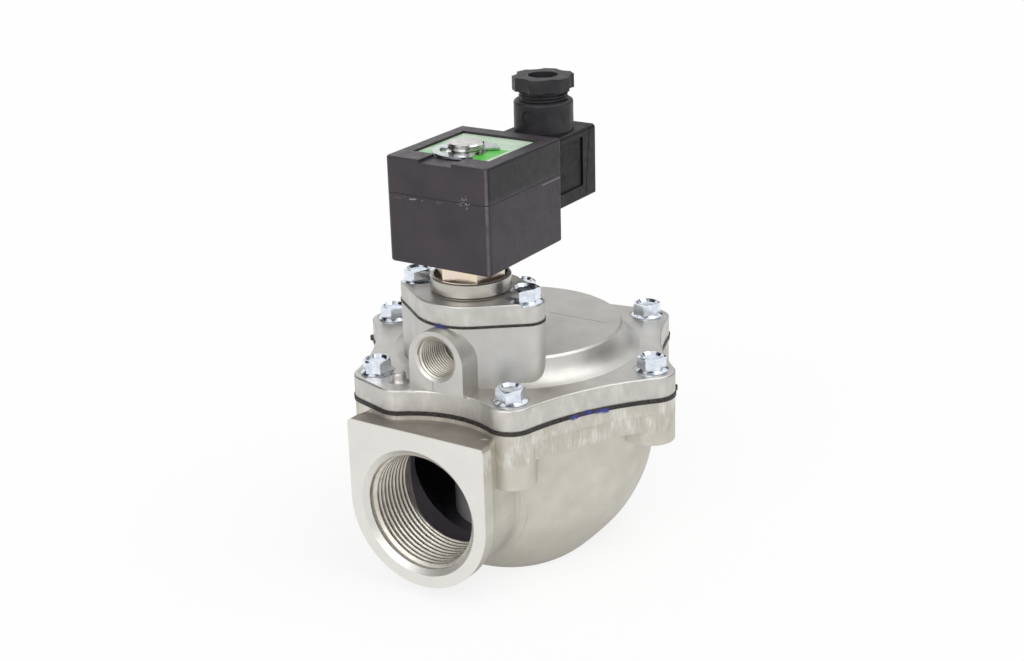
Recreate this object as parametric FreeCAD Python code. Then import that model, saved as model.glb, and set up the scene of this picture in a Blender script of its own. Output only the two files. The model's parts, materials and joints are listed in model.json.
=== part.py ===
import FreeCAD, Part
import math
import os

# Dust collector pulse valve, right-angle body, one inlet and one outlet on 1 1/2 inch pipe threads.
# Millimetres, +Z up. The origin is the centre of the outlet port's face, under the valve.
# The inlet looks along -Y and the electrical connector along +Y.
Vec = FreeCAD.Vector

# Fits
thread_clearance = 0.05
running_clearance = 0.06
loose_clearance = 0.15
seat_gap = 0.3
clip_play = 0.2

# Pipe ports
port_thread_r = 23.9
inlet_chamfer = 2.0
outlet_chamfer = 1.0
port_thread_length = 24.0
inlet_thread_length = 26.0
thread_relief = 1.1
port_throat_r = 21.5
inlet_face_y = -73.4
inlet_axis_z = 34.8
inlet_half_width = 31.1
inlet_bottom_r = 30.8
inlet_top_z = 68.0
inlet_corner_r = 2.0
inlet_flange_depth = 5.5
neck_waist_inset = 1.7
neck_root_y = -44.4
neck_root_spread = 0.5
neck_flare_length = 5.0
neck_shoulder_run = 4.0
neck_waist_run = 9.0
shelf_dimple_x = 26.5
shelf_dimple_y = -65.6
shelf_dimple_r = 1.9
shelf_dimple_depth = 0.4

# Body casting
body_top_z = 69.8
body_flange_thickness = 5.0
body_wall = 5.0
chamber_r = 47.0
chamber_floor_z = 8.0
seat_top_z = 66.8
seat_outer_r = 25.2
outlet_tube_wall = 3.6
outlet_tube_shoulder = 2.0
outlet_tube_taper = 4.0
bolt_boss_length = 18.0
front_boss_length = 22.3
rim_band_depth = 12.5
rim_band_inset = 1.2

# Cover bolts on their circle, and the outline that wraps them
bolt_count = 6
bolt_circle_r = 61.4
bolt_lobe_r = 9.2
valley_r = 100.7
front_lobe_x = -17.0
front_lobe_y = -57.6
front_lobe_r = 8.8
front_valley_r = 38.0
bolt_thread_r = 3.0
bolt_hole_r = 3.3
bolt_engagement = 12.0
bolt_head_flats = 10.0
bolt_head_height = 6.0
bolt_flange_r = 6.5
bolt_flange_height = 1.5
bolt_dish_r = 4.3
bolt_dish_floor_r = 3.3
bolt_dish_depth = 1.0
cover_bolt_turns = [18, 45, 34, 44, 27, 54]
pilot_bolt_turns = [38, 48]
spot_face_r = 7.3
spot_face_depth = 0.2

# Main diaphragm and its discs
diaphragm_thickness = 1.7
diaphragm_edge_proud = 0.4
diaphragm_disc_r = 29.0
diaphragm_fold_inner_r = 31.5
diaphragm_clamp_margin = 2.5
diaphragm_fold_height = 3.7
diaphragm_tab_r = 1.7
diaphragm_tabs = [(70.0, 183), (69.4, 58), (67.1, 7)]
upper_disc_r = 26.5
upper_disc_thickness = 2.5
lower_disc_r = 19.5
lower_disc_thickness = 2.5
disc_screw_r = 4.0
disc_screw_flats = 13.0
disc_screw_head = 4.0
disc_nut_height = 4.5
disc_screw_proud = 1.2
main_spring_r = 15.0
main_spring_wire_r = 0.8
main_spring_turns = 3.5

# Cover casting
cover_flange_thickness = 8.5
dome_height = 9.6
dome_top_r = 42.5
dome_base_r = 49.5
dome_roof = 3.1
control_chamber_inset = 1.1
cover_edge_round = 0.8
stub_r = 2.6
stub_foot = 1.8
stub_height = 4.4
stub_round = 1.2

# Pilot stage
pilot_y = -31.5
pilot_housing_r = 22.0
pilot_bolt_x = 24.6
pilot_lobe_r = 7.2
pilot_housing_height = 24.2
pilot_gasket_thickness = 1.0
pilot_gasket_proud = 0.3
pilot_recess_r = 17.0
pilot_recess_depth = 1.4
pilot_seat_r = 8.5
pilot_seat_step = 0.6
pilot_bore_r = 6.5
pilot_lift = 2.0
exhaust_face_y = -59.1
exhaust_x = 1.3
exhaust_axis_height = 13.2
exhaust_thread_r = 8.33
exhaust_chamfer = 0.9
exhaust_thread_length = 18.0
exhaust_boss_r = 12.2
pilot_way_wall = 2.0
pilot_feed_r = 2.0
pilot_cover_thickness = 6.3
pilot_pad_height = 1.5
pilot_pad_round = 0.6
pilot_spot_face_r = 7.5
pilot_chamber_r = 15.5
pilot_stop_gap = 0.2
spring_pocket_r = 9.2
spring_pocket_depth = 2.7
pilot_disc_r = 9.0
pilot_disc_thickness = 1.5
rivet_r = 1.5
rivet_head_r = 3.4
rivet_head_height = 0.9
pilot_spring_r = 6.6
pilot_spring_wire_r = 0.4
pilot_spring_turns = 4.0

# Collar on the pilot cover, and the solenoid's base nut
collar_r = 15.6
collar_neck_r = 14.7
collar_height = 7.9
collar_band_height = 5.4
collar_bore_r = 14.2
collar_bore_depth = 2.0
base_thread_r = 11.5
solenoid_floor = 2.3
orifice_r = 1.0
nozzle_r = 2.5
nozzle_height = 1.0
base_nut_flats = 24.0
base_nut_height = 9.0
tube_flange_r = 9.6
tube_flange_thickness = 1.2

# Core tube, cores and plunger
tube_r = 7.5
tube_wall = 1.0
plunger_length = 22.9
plunger_lift = 1.8
plunger_seal_r = 3.0
plunger_seal_length = 2.5
plunger_seal_proud = 0.5
plunger_bore_r = 3.2
plunger_bore_depth = 10.2
plunger_spring_r = 2.5
plunger_spring_wire_r = 0.35
plunger_spring_turns = 6.0
core_neck_r = 5.8
core_head_r = 6.9
core_head_height = 2.6
core_head_edge = 0.5
clip_thickness = 0.8
clip_r = 12.6
clip_opening = 80.0
clip_turn = -5.0
clip_relief_r = 9.9
clip_relief_span = 50.0
clip_relief_turn = 135.0

# Coil
coil_half_width = 22.6
coil_front_y = -52.4
coil_back_y = -0.9
coil_height = 40.8
coil_front_corner_r = 2.5
coil_back_corner_r = 1.0
coil_edge_r = 0.9
recess_half_width = 17.0
recess_front_y = -42.0
recess_back_y = -8.0
recess_depth = 1.3
notch_half_width = 7.3
notch_depth = 1.05
nameplate_thickness = 0.4
nameplate_margin = 0.3

# Connector
pin_width = 6.3
pin_thickness = 0.8
pin_length = 11.0
pin_root = 3.0
pin_spacing = 18.0
earth_pin_drop = 7.0
connector_half_width = 13.7
connector_bottom_z = 134.6
connector_top_z = 163.0
connector_split_top_y = 36.0
connector_split_bottom_y = 32.6
connector_back_y = 41.2
connector_wall = 2.0
connector_face_wall = 3.0
connector_corner_r = 1.6
connector_gasket_thickness = 1.0
connector_gasket_inset = 0.4
window_half_width = 11.3
window_inset = 4.2
terminal_block_depth = 14.0
split_groove = 0.4
cover_lip_depth = 2.2
cover_lip_wall = 1.5
cover_back_round = 0.8
mark_recess_depth = 0.6
mark_front_inset = 4.2
mark_back_inset = 1.8
mark_bottom_inset = 5.3
mark_top_inset = 3.0
connector_screw_r = 1.5
connector_screw_head_r = 2.9
connector_screw_head_height = 1.9
connector_screw_depth = 6.0
connector_screw_sink = 0.6
connector_screw_slot = 0.8
gland_y = 23.8
gland_boss_r = 11.85
gland_boss_top_z = 175.4
gland_boss_round = 1.2
gland_dimple_r = 3.0
gland_dimple_depth = 0.6
gland_dimple_drop = 5.8
gland_bore_r = 8.5
gland_seat_z = 164.5
gland_thread_r = 9.4
gland_core_r = 9.0
gland_thread_depth = 3.4
grommet_hole_r = 4.6
gland_washer_thickness = 1.0
gland_hole_r = 5.9
gland_nut_bottom_z = 179.5
gland_nut_height = 5.4
gland_nut_lobe_r = 12.3
gland_nut_valley_r = 10.6
gland_nut_lobes = 6
gland_nut_lobe_width = 5.0
gland_nut_turn = -73.0

# Levels and places that follow from the sizes above
diaphragm_fold_outer_r = chamber_r - diaphragm_clamp_margin
control_chamber_r = chamber_r - control_chamber_inset
cover_base_z = body_top_z + diaphragm_thickness
cover_top_z = cover_base_z + cover_flange_thickness
dome_top_z = cover_top_z + dome_height
chamber_roof_z = dome_top_z - dome_roof
pilot_top_z = cover_top_z + pilot_housing_height
pilot_floor_z = pilot_top_z - pilot_recess_depth
pilot_seat_z = pilot_top_z - pilot_seat_step
exhaust_z = cover_top_z + exhaust_axis_height
pilot_cover_z = pilot_top_z + pilot_gasket_thickness
pilot_plate_z = pilot_cover_z + pilot_cover_thickness
pilot_pad_z = pilot_plate_z + pilot_pad_height
cover_bolt_seat_z = cover_top_z - spot_face_depth
collar_top_z = pilot_plate_z + collar_height
solenoid_floor_z = pilot_plate_z + solenoid_floor
nozzle_top_z = solenoid_floor_z + nozzle_height
hex_seat_z = collar_top_z - collar_bore_depth
base_nut_top_z = hex_seat_z + base_nut_height
coil_base_z = base_nut_top_z + seat_gap
coil_top_z = coil_base_z + coil_height
recess_floor_z = coil_top_z - recess_depth
nameplate_top_z = recess_floor_z + nameplate_thickness
clip_z = nameplate_top_z + seat_gap
tube_top_z = clip_z - thread_clearance
head_z = clip_z + clip_thickness + clip_play
head_top_z = head_z + core_head_height
plunger_z = nozzle_top_z + plunger_seal_proud
plunger_top_z = plunger_z + plunger_length
core_z = plunger_top_z + plunger_lift
upper_disc_top_z = body_top_z + upper_disc_thickness
disc_nut_top_z = upper_disc_top_z + disc_nut_height
lower_disc_z = seat_top_z - lower_disc_thickness
pilot_disc_top_z = pilot_cover_z + pilot_disc_thickness
pilot_roof_z = pilot_disc_top_z + pilot_lift + rivet_head_height + pilot_stop_gap
outlet_tube_r = port_thread_r + outlet_tube_wall
connector_mid_z = (connector_bottom_z + connector_top_z) / 2
connector_front_y = coil_back_y + connector_gasket_thickness
pilot_axis = Vec(0, pilot_y, 0)


def polar(radius, degrees):
    angle = math.radians(degrees)
    return Vec(radius * math.cos(angle), radius * math.sin(angle), 0)


def lifted(points, z):
    return [Vec(p.x, p.y, z) for p in points]


def cylinder(radius, low, high, centre=Vec(0, 0, 0)):
    return Part.makeCylinder(radius, high - low, Vec(centre.x, centre.y, low))


def along_y(radius, front, back, x, z):
    return Part.makeCylinder(radius, back - front, Vec(x, front, z), Vec(0, 1, 0))


def block(x0, x1, y0, y1, z0, z1):
    return Part.makeBox(x1 - x0, y1 - y0, z1 - z0, Vec(x0, y0, z0))


def turned(profile, centre=Vec(0, 0, 0)):
    """Turns a closed outline of (radius, z) points, arcs among them, about a vertical axis."""
    edges = []
    for start, step in zip(profile, profile[1:] + profile[:1]):
        first = start[-2:]
        last = step[-2:]
        if len(step) == 4:
            middle = step[:2]
            edges.append(Part.Arc(Vec(first[0], 0, first[1]), Vec(middle[0], 0, middle[1]),
                                  Vec(last[0], 0, last[1])).toShape())
        else:
            edges.append(Part.makeLine(Vec(first[0], 0, first[1]), Vec(last[0], 0, last[1])))
    face = Part.Face(Part.Wire(edges))
    solid = face.revolve(Vec(0, 0, 0), Vec(0, 0, 1), 360)
    solid.translate(Vec(centre.x, centre.y, 0))
    return solid


def hexagon(flats, low, high, centre=Vec(0, 0, 0), turn=0.0):
    corner_r = flats / math.sqrt(3)
    points = [centre + polar(corner_r, turn + 60 * i) for i in range(6)]
    points = lifted(points, low)
    return Part.Face(Part.makePolygon(points + points[:1])).extrude(Vec(0, 0, high - low))


def coil_spring(mean_r, wire_r, low, high, turns, centre=Vec(0, 0, 0)):
    """A helical spring whose wire lies wholly between the two levels."""
    rise = high - low - 2 * wire_r
    steps = int(turns * spring_steps_per_turn)
    wires = []
    for i in range(steps + 1):
        share = i / steps
        angle = 360 * turns * share
        place = centre + polar(mean_r, angle) + Vec(0, 0, low + wire_r + rise * share)
        along = polar(1, angle + 90) + Vec(0, 0, rise / (2 * math.pi * mean_r * turns))
        section = Part.Wire(Part.makeCircle(wire_r, place, along))
        wires.append(section)
    return Part.makeLoft(wires, True, True)


def valley_centre(a, ra, b, rb, valley):
    """Centre of the hollow arc that touches two lobes from outside, on the side away from the axis."""
    gap = b - a
    d = gap.Length
    along = ((valley + ra) ** 2 - (valley + rb) ** 2 + d * d) / (2 * d)
    across = math.sqrt((valley + ra) ** 2 - along ** 2)
    unit = gap * (1 / d)
    side = Vec(unit.y, -unit.x, 0)
    return a + unit * along + side * across


def lobed_face(lobes, valleys, z):
    """Closed outline through round lobes, counter-clockwise; a valley of None is a straight tangent."""
    count = len(lobes)
    leave = []
    arrive = []
    middles = []
    for i in range(count):
        a, ra = lobes[i]
        b, rb = lobes[(i + 1) % count]
        if valleys[i] is None:
            gap = b - a
            tilt = math.asin((ra - rb) / gap.Length)
            normal = math.atan2(gap.y, gap.x) - math.pi / 2 + tilt
            out = Vec(math.cos(normal), math.sin(normal), 0)
            leave.append(a + out * ra)
            arrive.append(b + out * rb)
            middles.append(None)
        else:
            c = valley_centre(a, ra, b, rb, valleys[i])
            leave.append(a + (c - a).normalize() * ra)
            arrive.append(b + (c - b).normalize() * rb)
            middle_out = ((leave[-1] + arrive[-1]) * 0.5 - c).normalize()
            middles.append(c + middle_out * valleys[i])
    edges = []
    for i in range(count):
        centre, radius = lobes[i]
        start = arrive[i - 1]
        end = leave[i]
        top = centre + ((start - centre) + (end - centre)).normalize() * radius
        if (start - centre).cross(end - centre).z < 0:
            top = centre * 2 - top
        edges.append(Part.Arc(start, top, end).toShape())
        if middles[i] is None:
            edges.append(Part.makeLine(end, arrive[i]))
        else:
            edges.append(Part.Arc(end, middles[i], arrive[i]).toShape())
    face = Part.Face(Part.Wire(edges))
    face.translate(Vec(0, 0, z))
    return face


def bolt_places():
    return [polar(bolt_circle_r, -120 + 60 * i) for i in range(bolt_count)]


def flange_outline(z, proud=0.0):
    """Outline of the bolted joint: six bolt lobes and one small lobe beside the exhaust port."""
    bolts = bolt_places()
    lobes = [(bolts[0], bolt_lobe_r + proud), (Vec(front_lobe_x, front_lobe_y, 0), front_lobe_r + proud)]
    lobes += [(place, bolt_lobe_r + proud) for place in bolts[1:]]
    valleys = [None, front_valley_r - proud] + [valley_r - proud] * (bolt_count - 1)
    return lobed_face(lobes, valleys, z)


def pilot_outline(z, proud=0.0):
    """Two-bolt outline: a large round between two bolt lobes, joined by straight tangents."""
    side = Vec(pilot_bolt_x, pilot_y, 0)
    other = Vec(-pilot_bolt_x, pilot_y, 0)
    radius = pilot_housing_r + proud
    lobe_r = pilot_lobe_r + proud
    turn = math.acos((pilot_housing_r - pilot_lobe_r) / pilot_bolt_x)
    edges = []
    for centre, sign in ((side, 1), (other, -1)):
        low = Vec(sign * math.cos(turn), -sign * math.sin(turn), 0)
        high = Vec(low.x, -low.y, 0)
        far = Vec(sign, 0, 0)
        edges.append(Part.makeLine(pilot_axis + low * radius, centre + low * lobe_r))
        edges.append(Part.Arc(centre + low * lobe_r, centre + far * lobe_r, centre + high * lobe_r).toShape())
        edges.append(Part.makeLine(centre + high * lobe_r, pilot_axis + high * radius))
        across = Vec(-low.x, -low.y, 0)
        edges.append(Part.Arc(pilot_axis + high * radius, pilot_axis + Vec(0, sign, 0) * radius,
                              pilot_axis + across * radius).toShape())
    face = Part.Face(Part.Wire(edges))
    face.translate(Vec(0, 0, z))
    return face


# The bowl: half width, half depth and squareness of its level sections, from the bottom up
bowl_sections = [
    (0.0, 33.3, 41.3, 2.5),
    (4.0, 37.0, 44.2, 2.5),
    (10.0, 41.7, 47.6, 2.4),
    (18.0, 46.7, 51.2, 2.2),
    (28.0, 51.6, 54.0, 2.05),
    (40.0, 54.5, 55.6, 2.0),
    (52.0, 55.8, 56.2, 2.0),
    (65.0, 56.4, 56.4, 2.0),
]
section_points = 24
spring_steps_per_turn = 20


def bowl_section(z, half_x, half_y, power):
    points = []
    for i in range(section_points):
        angle = 2 * math.pi * i / section_points
        c = math.cos(angle)
        s = math.sin(angle)
        x = half_x * math.copysign(abs(c) ** (2 / power), c)
        y = half_y * math.copysign(abs(s) ** (2 / power), s)
        points.append(Vec(x, y, z))
    curve = Part.BSplineCurve()
    curve.interpolate(points, True)
    return Part.Wire(curve.toShape())


def bowl():
    return Part.makeLoft([bowl_section(*row) for row in bowl_sections], True, False)


def neck_section(y, spread=0.0):
    """A D on its side: flat top with rounded corners, straight flanks, round bottom about the port axis."""
    z = inlet_axis_z
    half = inlet_half_width + spread
    top = inlet_top_z
    c = inlet_corner_r
    near = c * (1 - math.sqrt(0.5))
    edges = [
        Part.makeLine(Vec(-half, y, z), Vec(-half, y, top - c)),
        Part.Arc(Vec(-half, y, top - c), Vec(-half + near, y, top - near), Vec(-half + c, y, top)).toShape(),
        Part.makeLine(Vec(-half + c, y, top), Vec(half - c, y, top)),
        Part.Arc(Vec(half - c, y, top), Vec(half - near, y, top - near), Vec(half, y, top - c)).toShape(),
        Part.makeLine(Vec(half, y, top - c), Vec(half, y, z)),
        Part.Arc(Vec(half, y, z), Vec(0, y, z - inlet_bottom_r - spread), Vec(-half, y, z)).toShape(),
    ]
    return Part.Wire(edges)


def inlet_neck():
    """The machined D-shaped inlet flange, and the waisted neck that flares out where it meets the bowl."""
    flange_back = inlet_face_y + inlet_flange_depth
    flare_y = neck_root_y - neck_flare_length
    inset = neck_waist_inset
    flange = [(inlet_face_y, 0.0), (flange_back, 0.0)]
    waist = [(flange_back, 0.0), (flange_back + neck_shoulder_run, -0.75 * inset),
             (flange_back + neck_waist_run, -inset), (flare_y, -inset)]
    flare = [(flare_y, -inset), (flare_y + neck_flare_length / 2, -0.75 * inset),
             (neck_root_y, neck_root_spread), (neck_root_y + 3 * neck_flare_length, neck_root_spread)]
    pieces = []
    for rows, ruled in ((flange, True), (waist, False), (flare, True)):
        pieces.append(Part.makeLoft([neck_section(y, spread) for y, spread in rows], True, ruled))
    return pieces[0].fuse(pieces[1:])


def bolt_boss(place, length):
    """A bolt column under the flange, joined to the bowl by a web of its own width."""
    column = cylinder(bolt_lobe_r, body_top_z - length, body_top_z, place)
    reach = bolt_circle_r - chamber_r + body_wall
    web = block(0, reach, -bolt_lobe_r, bolt_lobe_r, body_top_z - length, body_top_z)
    angle = math.degrees(math.atan2(place.y, place.x))
    web.translate(Vec(chamber_r - body_wall, 0, 0))
    web.rotate(Vec(0, 0, 0), Vec(0, 0, 1), angle)
    return column.fuse(web)


def body_chamber():
    """The ring-shaped inlet chamber between the bowl's wall and the outlet tube."""
    bowl_low_r = bowl_sections[1][1] - body_wall + 2
    bowl_mid_r = bowl_sections[3][1] - body_wall
    return turned([
        (outlet_tube_r, chamber_floor_z),
        (bowl_low_r, chamber_floor_z),
        (bowl_mid_r + 0.6, 20.0, chamber_r, 38.0),
        (chamber_r, body_top_z + 1),
        (0.0, body_top_z + 1),
        (0.0, seat_top_z),
        (seat_outer_r, seat_top_z),
        (seat_outer_r, port_thread_length + outlet_tube_shoulder + outlet_tube_taper),
        (outlet_tube_r, port_thread_length + outlet_tube_shoulder),
    ])


def outlet_passage():
    """Outlet: chamfered mouth, thread length, then the throat up to the seat."""
    step = outlet_chamfer
    return turned([
        (0.0, -1.0),
        (port_thread_r + step + 1, -1.0),
        (port_thread_r, step),
        (port_thread_r, port_thread_length),
        (port_throat_r, port_thread_length + 2),
        (port_throat_r, seat_top_z + 1),
        (0.0, seat_top_z + 1),
    ])


def inlet_passage():
    step = inlet_chamfer
    mouth = Part.makeCone(port_thread_r + step + 1, port_thread_r, step + 1,
                          Vec(0, inlet_face_y - 1, inlet_axis_z), Vec(0, 1, 0))
    thread = along_y(port_thread_r, inlet_face_y, inlet_face_y + inlet_thread_length, 0, inlet_axis_z)
    throat = along_y(port_thread_r + thread_relief, inlet_face_y + inlet_thread_length, -outlet_tube_r - 2, 0,
                     inlet_axis_z)
    return mouth.fuse([thread, throat])


def valve_body():
    """Cast body: bowl, D-shaped inlet neck, bolted flange, bolt bosses and rim band in one piece."""
    bolts = bolt_places()
    flange = flange_outline(body_top_z - body_flange_thickness).extrude(Vec(0, 0, body_flange_thickness))
    band = flange_outline(body_top_z - rim_band_depth, -rim_band_inset).extrude(Vec(0, 0, rim_band_depth))
    pieces = [inlet_neck(), flange, band]
    for i, place in enumerate(bolts):
        pieces.append(bolt_boss(place, front_boss_length if i < 2 else bolt_boss_length))
    solid = bowl().fuse(pieces)
    solid = solid.cut(body_chamber().fuse([outlet_passage(), inlet_passage()]))
    depth = bolt_engagement + 3
    holes = [cylinder(bolt_thread_r + thread_clearance, body_top_z - depth, body_top_z + 1, p) for p in bolts]
    for side in (-1, 1):
        place = Vec(side * shelf_dimple_x, shelf_dimple_y, 0)
        holes.append(cylinder(shelf_dimple_r, inlet_top_z - shelf_dimple_depth, inlet_top_z + 1, place))
    return solid.cut(Part.makeCompound(holes))


def main_diaphragm():
    """Moulded rubber sheet: clamped rim, one rolled fold and a thick centre that closes on the seat."""
    low = body_top_z
    high = body_top_z + diaphragm_thickness
    middle = (diaphragm_fold_inner_r + diaphragm_fold_outer_r) / 2
    half = (diaphragm_fold_outer_r - diaphragm_fold_inner_r) / 2
    fold_r = (half ** 2 + diaphragm_fold_height ** 2) / (2 * diaphragm_fold_height)
    fold_z = low + diaphragm_fold_height - fold_r
    top_r = fold_r + diaphragm_thickness
    top_half = math.sqrt(top_r ** 2 - (high - fold_z) ** 2)
    rim_r = chamber_r + 2
    hole_r = disc_screw_r + loose_clearance
    sheet = turned([
        (hole_r, seat_top_z),
        (diaphragm_disc_r, seat_top_z),
        (diaphragm_fold_inner_r, low),
        (middle, low + diaphragm_fold_height, diaphragm_fold_outer_r, low),
        (rim_r, low),
        (rim_r, high),
        (middle + top_half, high),
        (middle, fold_z + top_r, middle - top_half, high),
        (diaphragm_disc_r - 1, low),
        (hole_r, low),
    ])
    rim = flange_outline(low, diaphragm_edge_proud).extrude(Vec(0, 0, diaphragm_thickness))
    rim = rim.cut(cylinder(chamber_r, low - 1, high + 1))
    tabs = [cylinder(diaphragm_tab_r, low, high, polar(r, a)) for r, a in diaphragm_tabs]
    holes = [cylinder(bolt_hole_r, low - 1, high + 1, p) for p in bolt_places()]
    return sheet.fuse([rim] + tabs).cut(Part.makeCompound(holes)).removeSplitter()


def upper_disc():
    edge = 0.6
    return turned([
        (disc_screw_r + loose_clearance, body_top_z),
        (upper_disc_r, body_top_z),
        (upper_disc_r, upper_disc_top_z - edge),
        (upper_disc_r - edge, upper_disc_top_z),
        (disc_screw_r + loose_clearance, upper_disc_top_z),
    ])


def lower_disc():
    edge = 1.0
    return turned([
        (disc_screw_r + loose_clearance, lower_disc_z),
        (lower_disc_r - edge, lower_disc_z),
        (lower_disc_r, lower_disc_z + edge),
        (lower_disc_r, seat_top_z),
        (disc_screw_r + loose_clearance, seat_top_z),
    ])


def disc_screw():
    head = hexagon(disc_screw_flats, lower_disc_z - disc_screw_head, lower_disc_z)
    return head.fuse(cylinder(disc_screw_r, lower_disc_z - 1, disc_nut_top_z + disc_screw_proud))


def disc_nut():
    nut = hexagon(disc_screw_flats, upper_disc_top_z, disc_nut_top_z)
    return nut.cut(cylinder(disc_screw_r + thread_clearance, upper_disc_top_z - 1, disc_nut_top_z + 1))


def main_spring():
    return coil_spring(main_spring_r, main_spring_wire_r, upper_disc_top_z, chamber_roof_z, main_spring_turns)


def dome():
    """Raised round roof with a flank that flares out to the flange."""
    foot = 2.2
    return turned([
        (0.0, cover_base_z + 1),
        (dome_base_r, cover_base_z + 1),
        (dome_base_r, cover_top_z),
        ((dome_base_r + dome_top_r) / 2 - foot * 0.5, cover_top_z + dome_height * 0.38,
         dome_top_r, dome_top_z - 0.8),
        (dome_top_r - 0.8, dome_top_z),
        (0.0, dome_top_z),
    ])


def exhaust_boss():
    """D-shaped boss round the pilot exhaust port: arched top, straight flanks, flat machined face."""
    arch_z = pilot_top_z - exhaust_boss_r
    left = exhaust_x - exhaust_boss_r
    right = exhaust_x + exhaust_boss_r
    y = exhaust_face_y
    foot = cover_top_z
    edges = [
        Part.makeLine(Vec(left, y, foot), Vec(right, y, foot)),
        Part.makeLine(Vec(right, y, foot), Vec(right, y, arch_z)),
        Part.Arc(Vec(right, y, arch_z), Vec(exhaust_x, y, pilot_top_z), Vec(left, y, arch_z)).toShape(),
        Part.makeLine(Vec(left, y, arch_z), Vec(left, y, foot)),
    ]
    return Part.Face(Part.Wire(edges)).extrude(Vec(0, pilot_y - y, 0))


def control_chamber():
    """Space over the main diaphragm, under the flange and up into the dome."""
    step_r = dome_top_r - dome_roof - 1
    return turned([
        (0.0, cover_base_z - 1),
        (control_chamber_r, cover_base_z - 1),
        (control_chamber_r, cover_top_z - 3.0),
        (step_r, chamber_roof_z),
        (0.0, chamber_roof_z),
    ])


def pilot_passages():
    """Seat, exhaust way and feed hole of the pilot stage."""
    recess = cylinder(pilot_recess_r, pilot_floor_z, pilot_top_z + 1, pilot_axis)
    seat = cylinder(pilot_seat_r, pilot_floor_z - 1, pilot_seat_z, pilot_axis)
    down = cylinder(pilot_bore_r, exhaust_z, pilot_top_z + 1, pilot_axis)
    way = along_y(pilot_bore_r, exhaust_face_y - 1, pilot_y, exhaust_x, exhaust_z)
    thread_end = exhaust_face_y + exhaust_thread_length
    thread = along_y(exhaust_thread_r, exhaust_face_y - 1, thread_end, exhaust_x, exhaust_z)
    step = exhaust_chamfer
    mouth = Part.makeCone(exhaust_thread_r + step + 1, exhaust_thread_r, step + 1,
                          Vec(exhaust_x, exhaust_face_y - 1, exhaust_z), Vec(0, 1, 0))
    feed_y = pilot_y + pilot_recess_r - pilot_feed_r - 1
    feed = cylinder(pilot_feed_r, chamber_roof_z - pilot_feed_r, pilot_top_z, Vec(0, feed_y, 0))
    return recess.cut(seat).fuse([down, way, thread, mouth, feed])


def pilot_way_walls():
    """Metal kept round the exhaust way where it crosses the roof of the control chamber."""
    radius = exhaust_thread_r + pilot_way_wall
    return along_y(radius, exhaust_face_y, pilot_y, exhaust_x, exhaust_z).fuse(
        cylinder(radius, exhaust_z - radius, pilot_top_z, pilot_axis))


def pilot_bolt_places():
    return [Vec(pilot_bolt_x, pilot_y, 0), Vec(-pilot_bolt_x, pilot_y, 0)]


def softened(prism, radius, z):
    """Rounds the edges of an upright prism that lie at one level."""
    return prism.makeFillet(radius, [e for e in prism.Edges if abs(e.CenterOfMass.z - z) < 0.01])


def stub():
    """Short cast pin on the small lobe, with a hollow foot and a round top."""
    base = cover_top_z
    top = base + stub_height
    near = 1 - math.sqrt(0.5)
    return turned([
        (0.0, base - 1),
        (stub_r + stub_foot, base - 1),
        (stub_r + stub_foot, base),
        (stub_r + stub_foot * near, base + stub_foot * near, stub_r, base + stub_foot),
        (stub_r, top - stub_round),
        (stub_r - stub_round * near, top - stub_round * near, stub_r - stub_round, top),
        (0.0, top),
    ], Vec(front_lobe_x, front_lobe_y, 0))


def main_cover():
    """Cast cover: lobed flange, round dome, and the pilot housing with its exhaust port."""
    flange = flange_outline(cover_base_z).extrude(Vec(0, 0, cover_flange_thickness))
    flange = softened(flange, cover_edge_round, cover_top_z)
    housing = pilot_outline(cover_top_z - 2).extrude(Vec(0, 0, pilot_housing_height + 2))
    solid = flange.fuse([dome(), housing, exhaust_boss(), stub()])
    solid = solid.cut(control_chamber().cut(pilot_way_walls()))
    solid = solid.cut(pilot_passages())
    holes = [cylinder(bolt_hole_r, cover_base_z - 1, cover_top_z + 1, p) for p in bolt_places()]
    above_heads = cover_top_z + bolt_head_height + 1
    holes += [cylinder(spot_face_r, cover_bolt_seat_z, above_heads, p) for p in bolt_places()]
    depth = bolt_engagement + 2
    tapped_r = bolt_thread_r + thread_clearance
    holes += [cylinder(tapped_r, pilot_top_z - depth, pilot_top_z + 1, p) for p in pilot_bolt_places()]
    return solid.cut(holes[0].fuse(holes[1:])).removeSplitter()


def flange_bolt(place, seat_z, shank_end_z, turn):
    """Hexagon flange bolt with a dished head."""
    skirt = turned([
        (0.0, seat_z),
        (bolt_flange_r, seat_z),
        (bolt_flange_r, seat_z + bolt_flange_height * 0.4),
        (bolt_head_flats / 2, seat_z + bolt_flange_height),
        (0.0, seat_z + bolt_flange_height),
    ], place)
    top = seat_z + bolt_head_height
    corner_r = bolt_head_flats / math.sqrt(3)
    head = hexagon(bolt_head_flats, seat_z + 0.5, top, place, turn)
    crown = turned([
        (0.0, seat_z),
        (corner_r + 1, seat_z),
        (corner_r + 1, top - 1.1),
        (bolt_head_flats / 2 - 0.3, top),
        (0.0, top),
    ], place)
    dish = turned([
        (0.0, top - bolt_dish_depth),
        (bolt_dish_floor_r, top - bolt_dish_depth),
        (bolt_dish_r, top),
        (bolt_dish_r, top + 1),
        (0.0, top + 1),
    ], place)
    shank = cylinder(bolt_thread_r, shank_end_z, seat_z + 1, place)
    return head.common(crown).cut(dish).fuse([skirt, shank])


def cover_bolts():
    end = body_top_z - bolt_engagement
    bolts = [flange_bolt(p, cover_bolt_seat_z, end, turn) for p, turn in zip(bolt_places(), cover_bolt_turns)]
    return Part.makeCompound(bolts)


def pilot_bolts():
    end = pilot_top_z - bolt_engagement
    places = zip(pilot_bolt_places(), pilot_bolt_turns)
    bolts = [flange_bolt(place, pilot_plate_z, end, turn) for place, turn in places]
    return Part.makeCompound(bolts)


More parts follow.
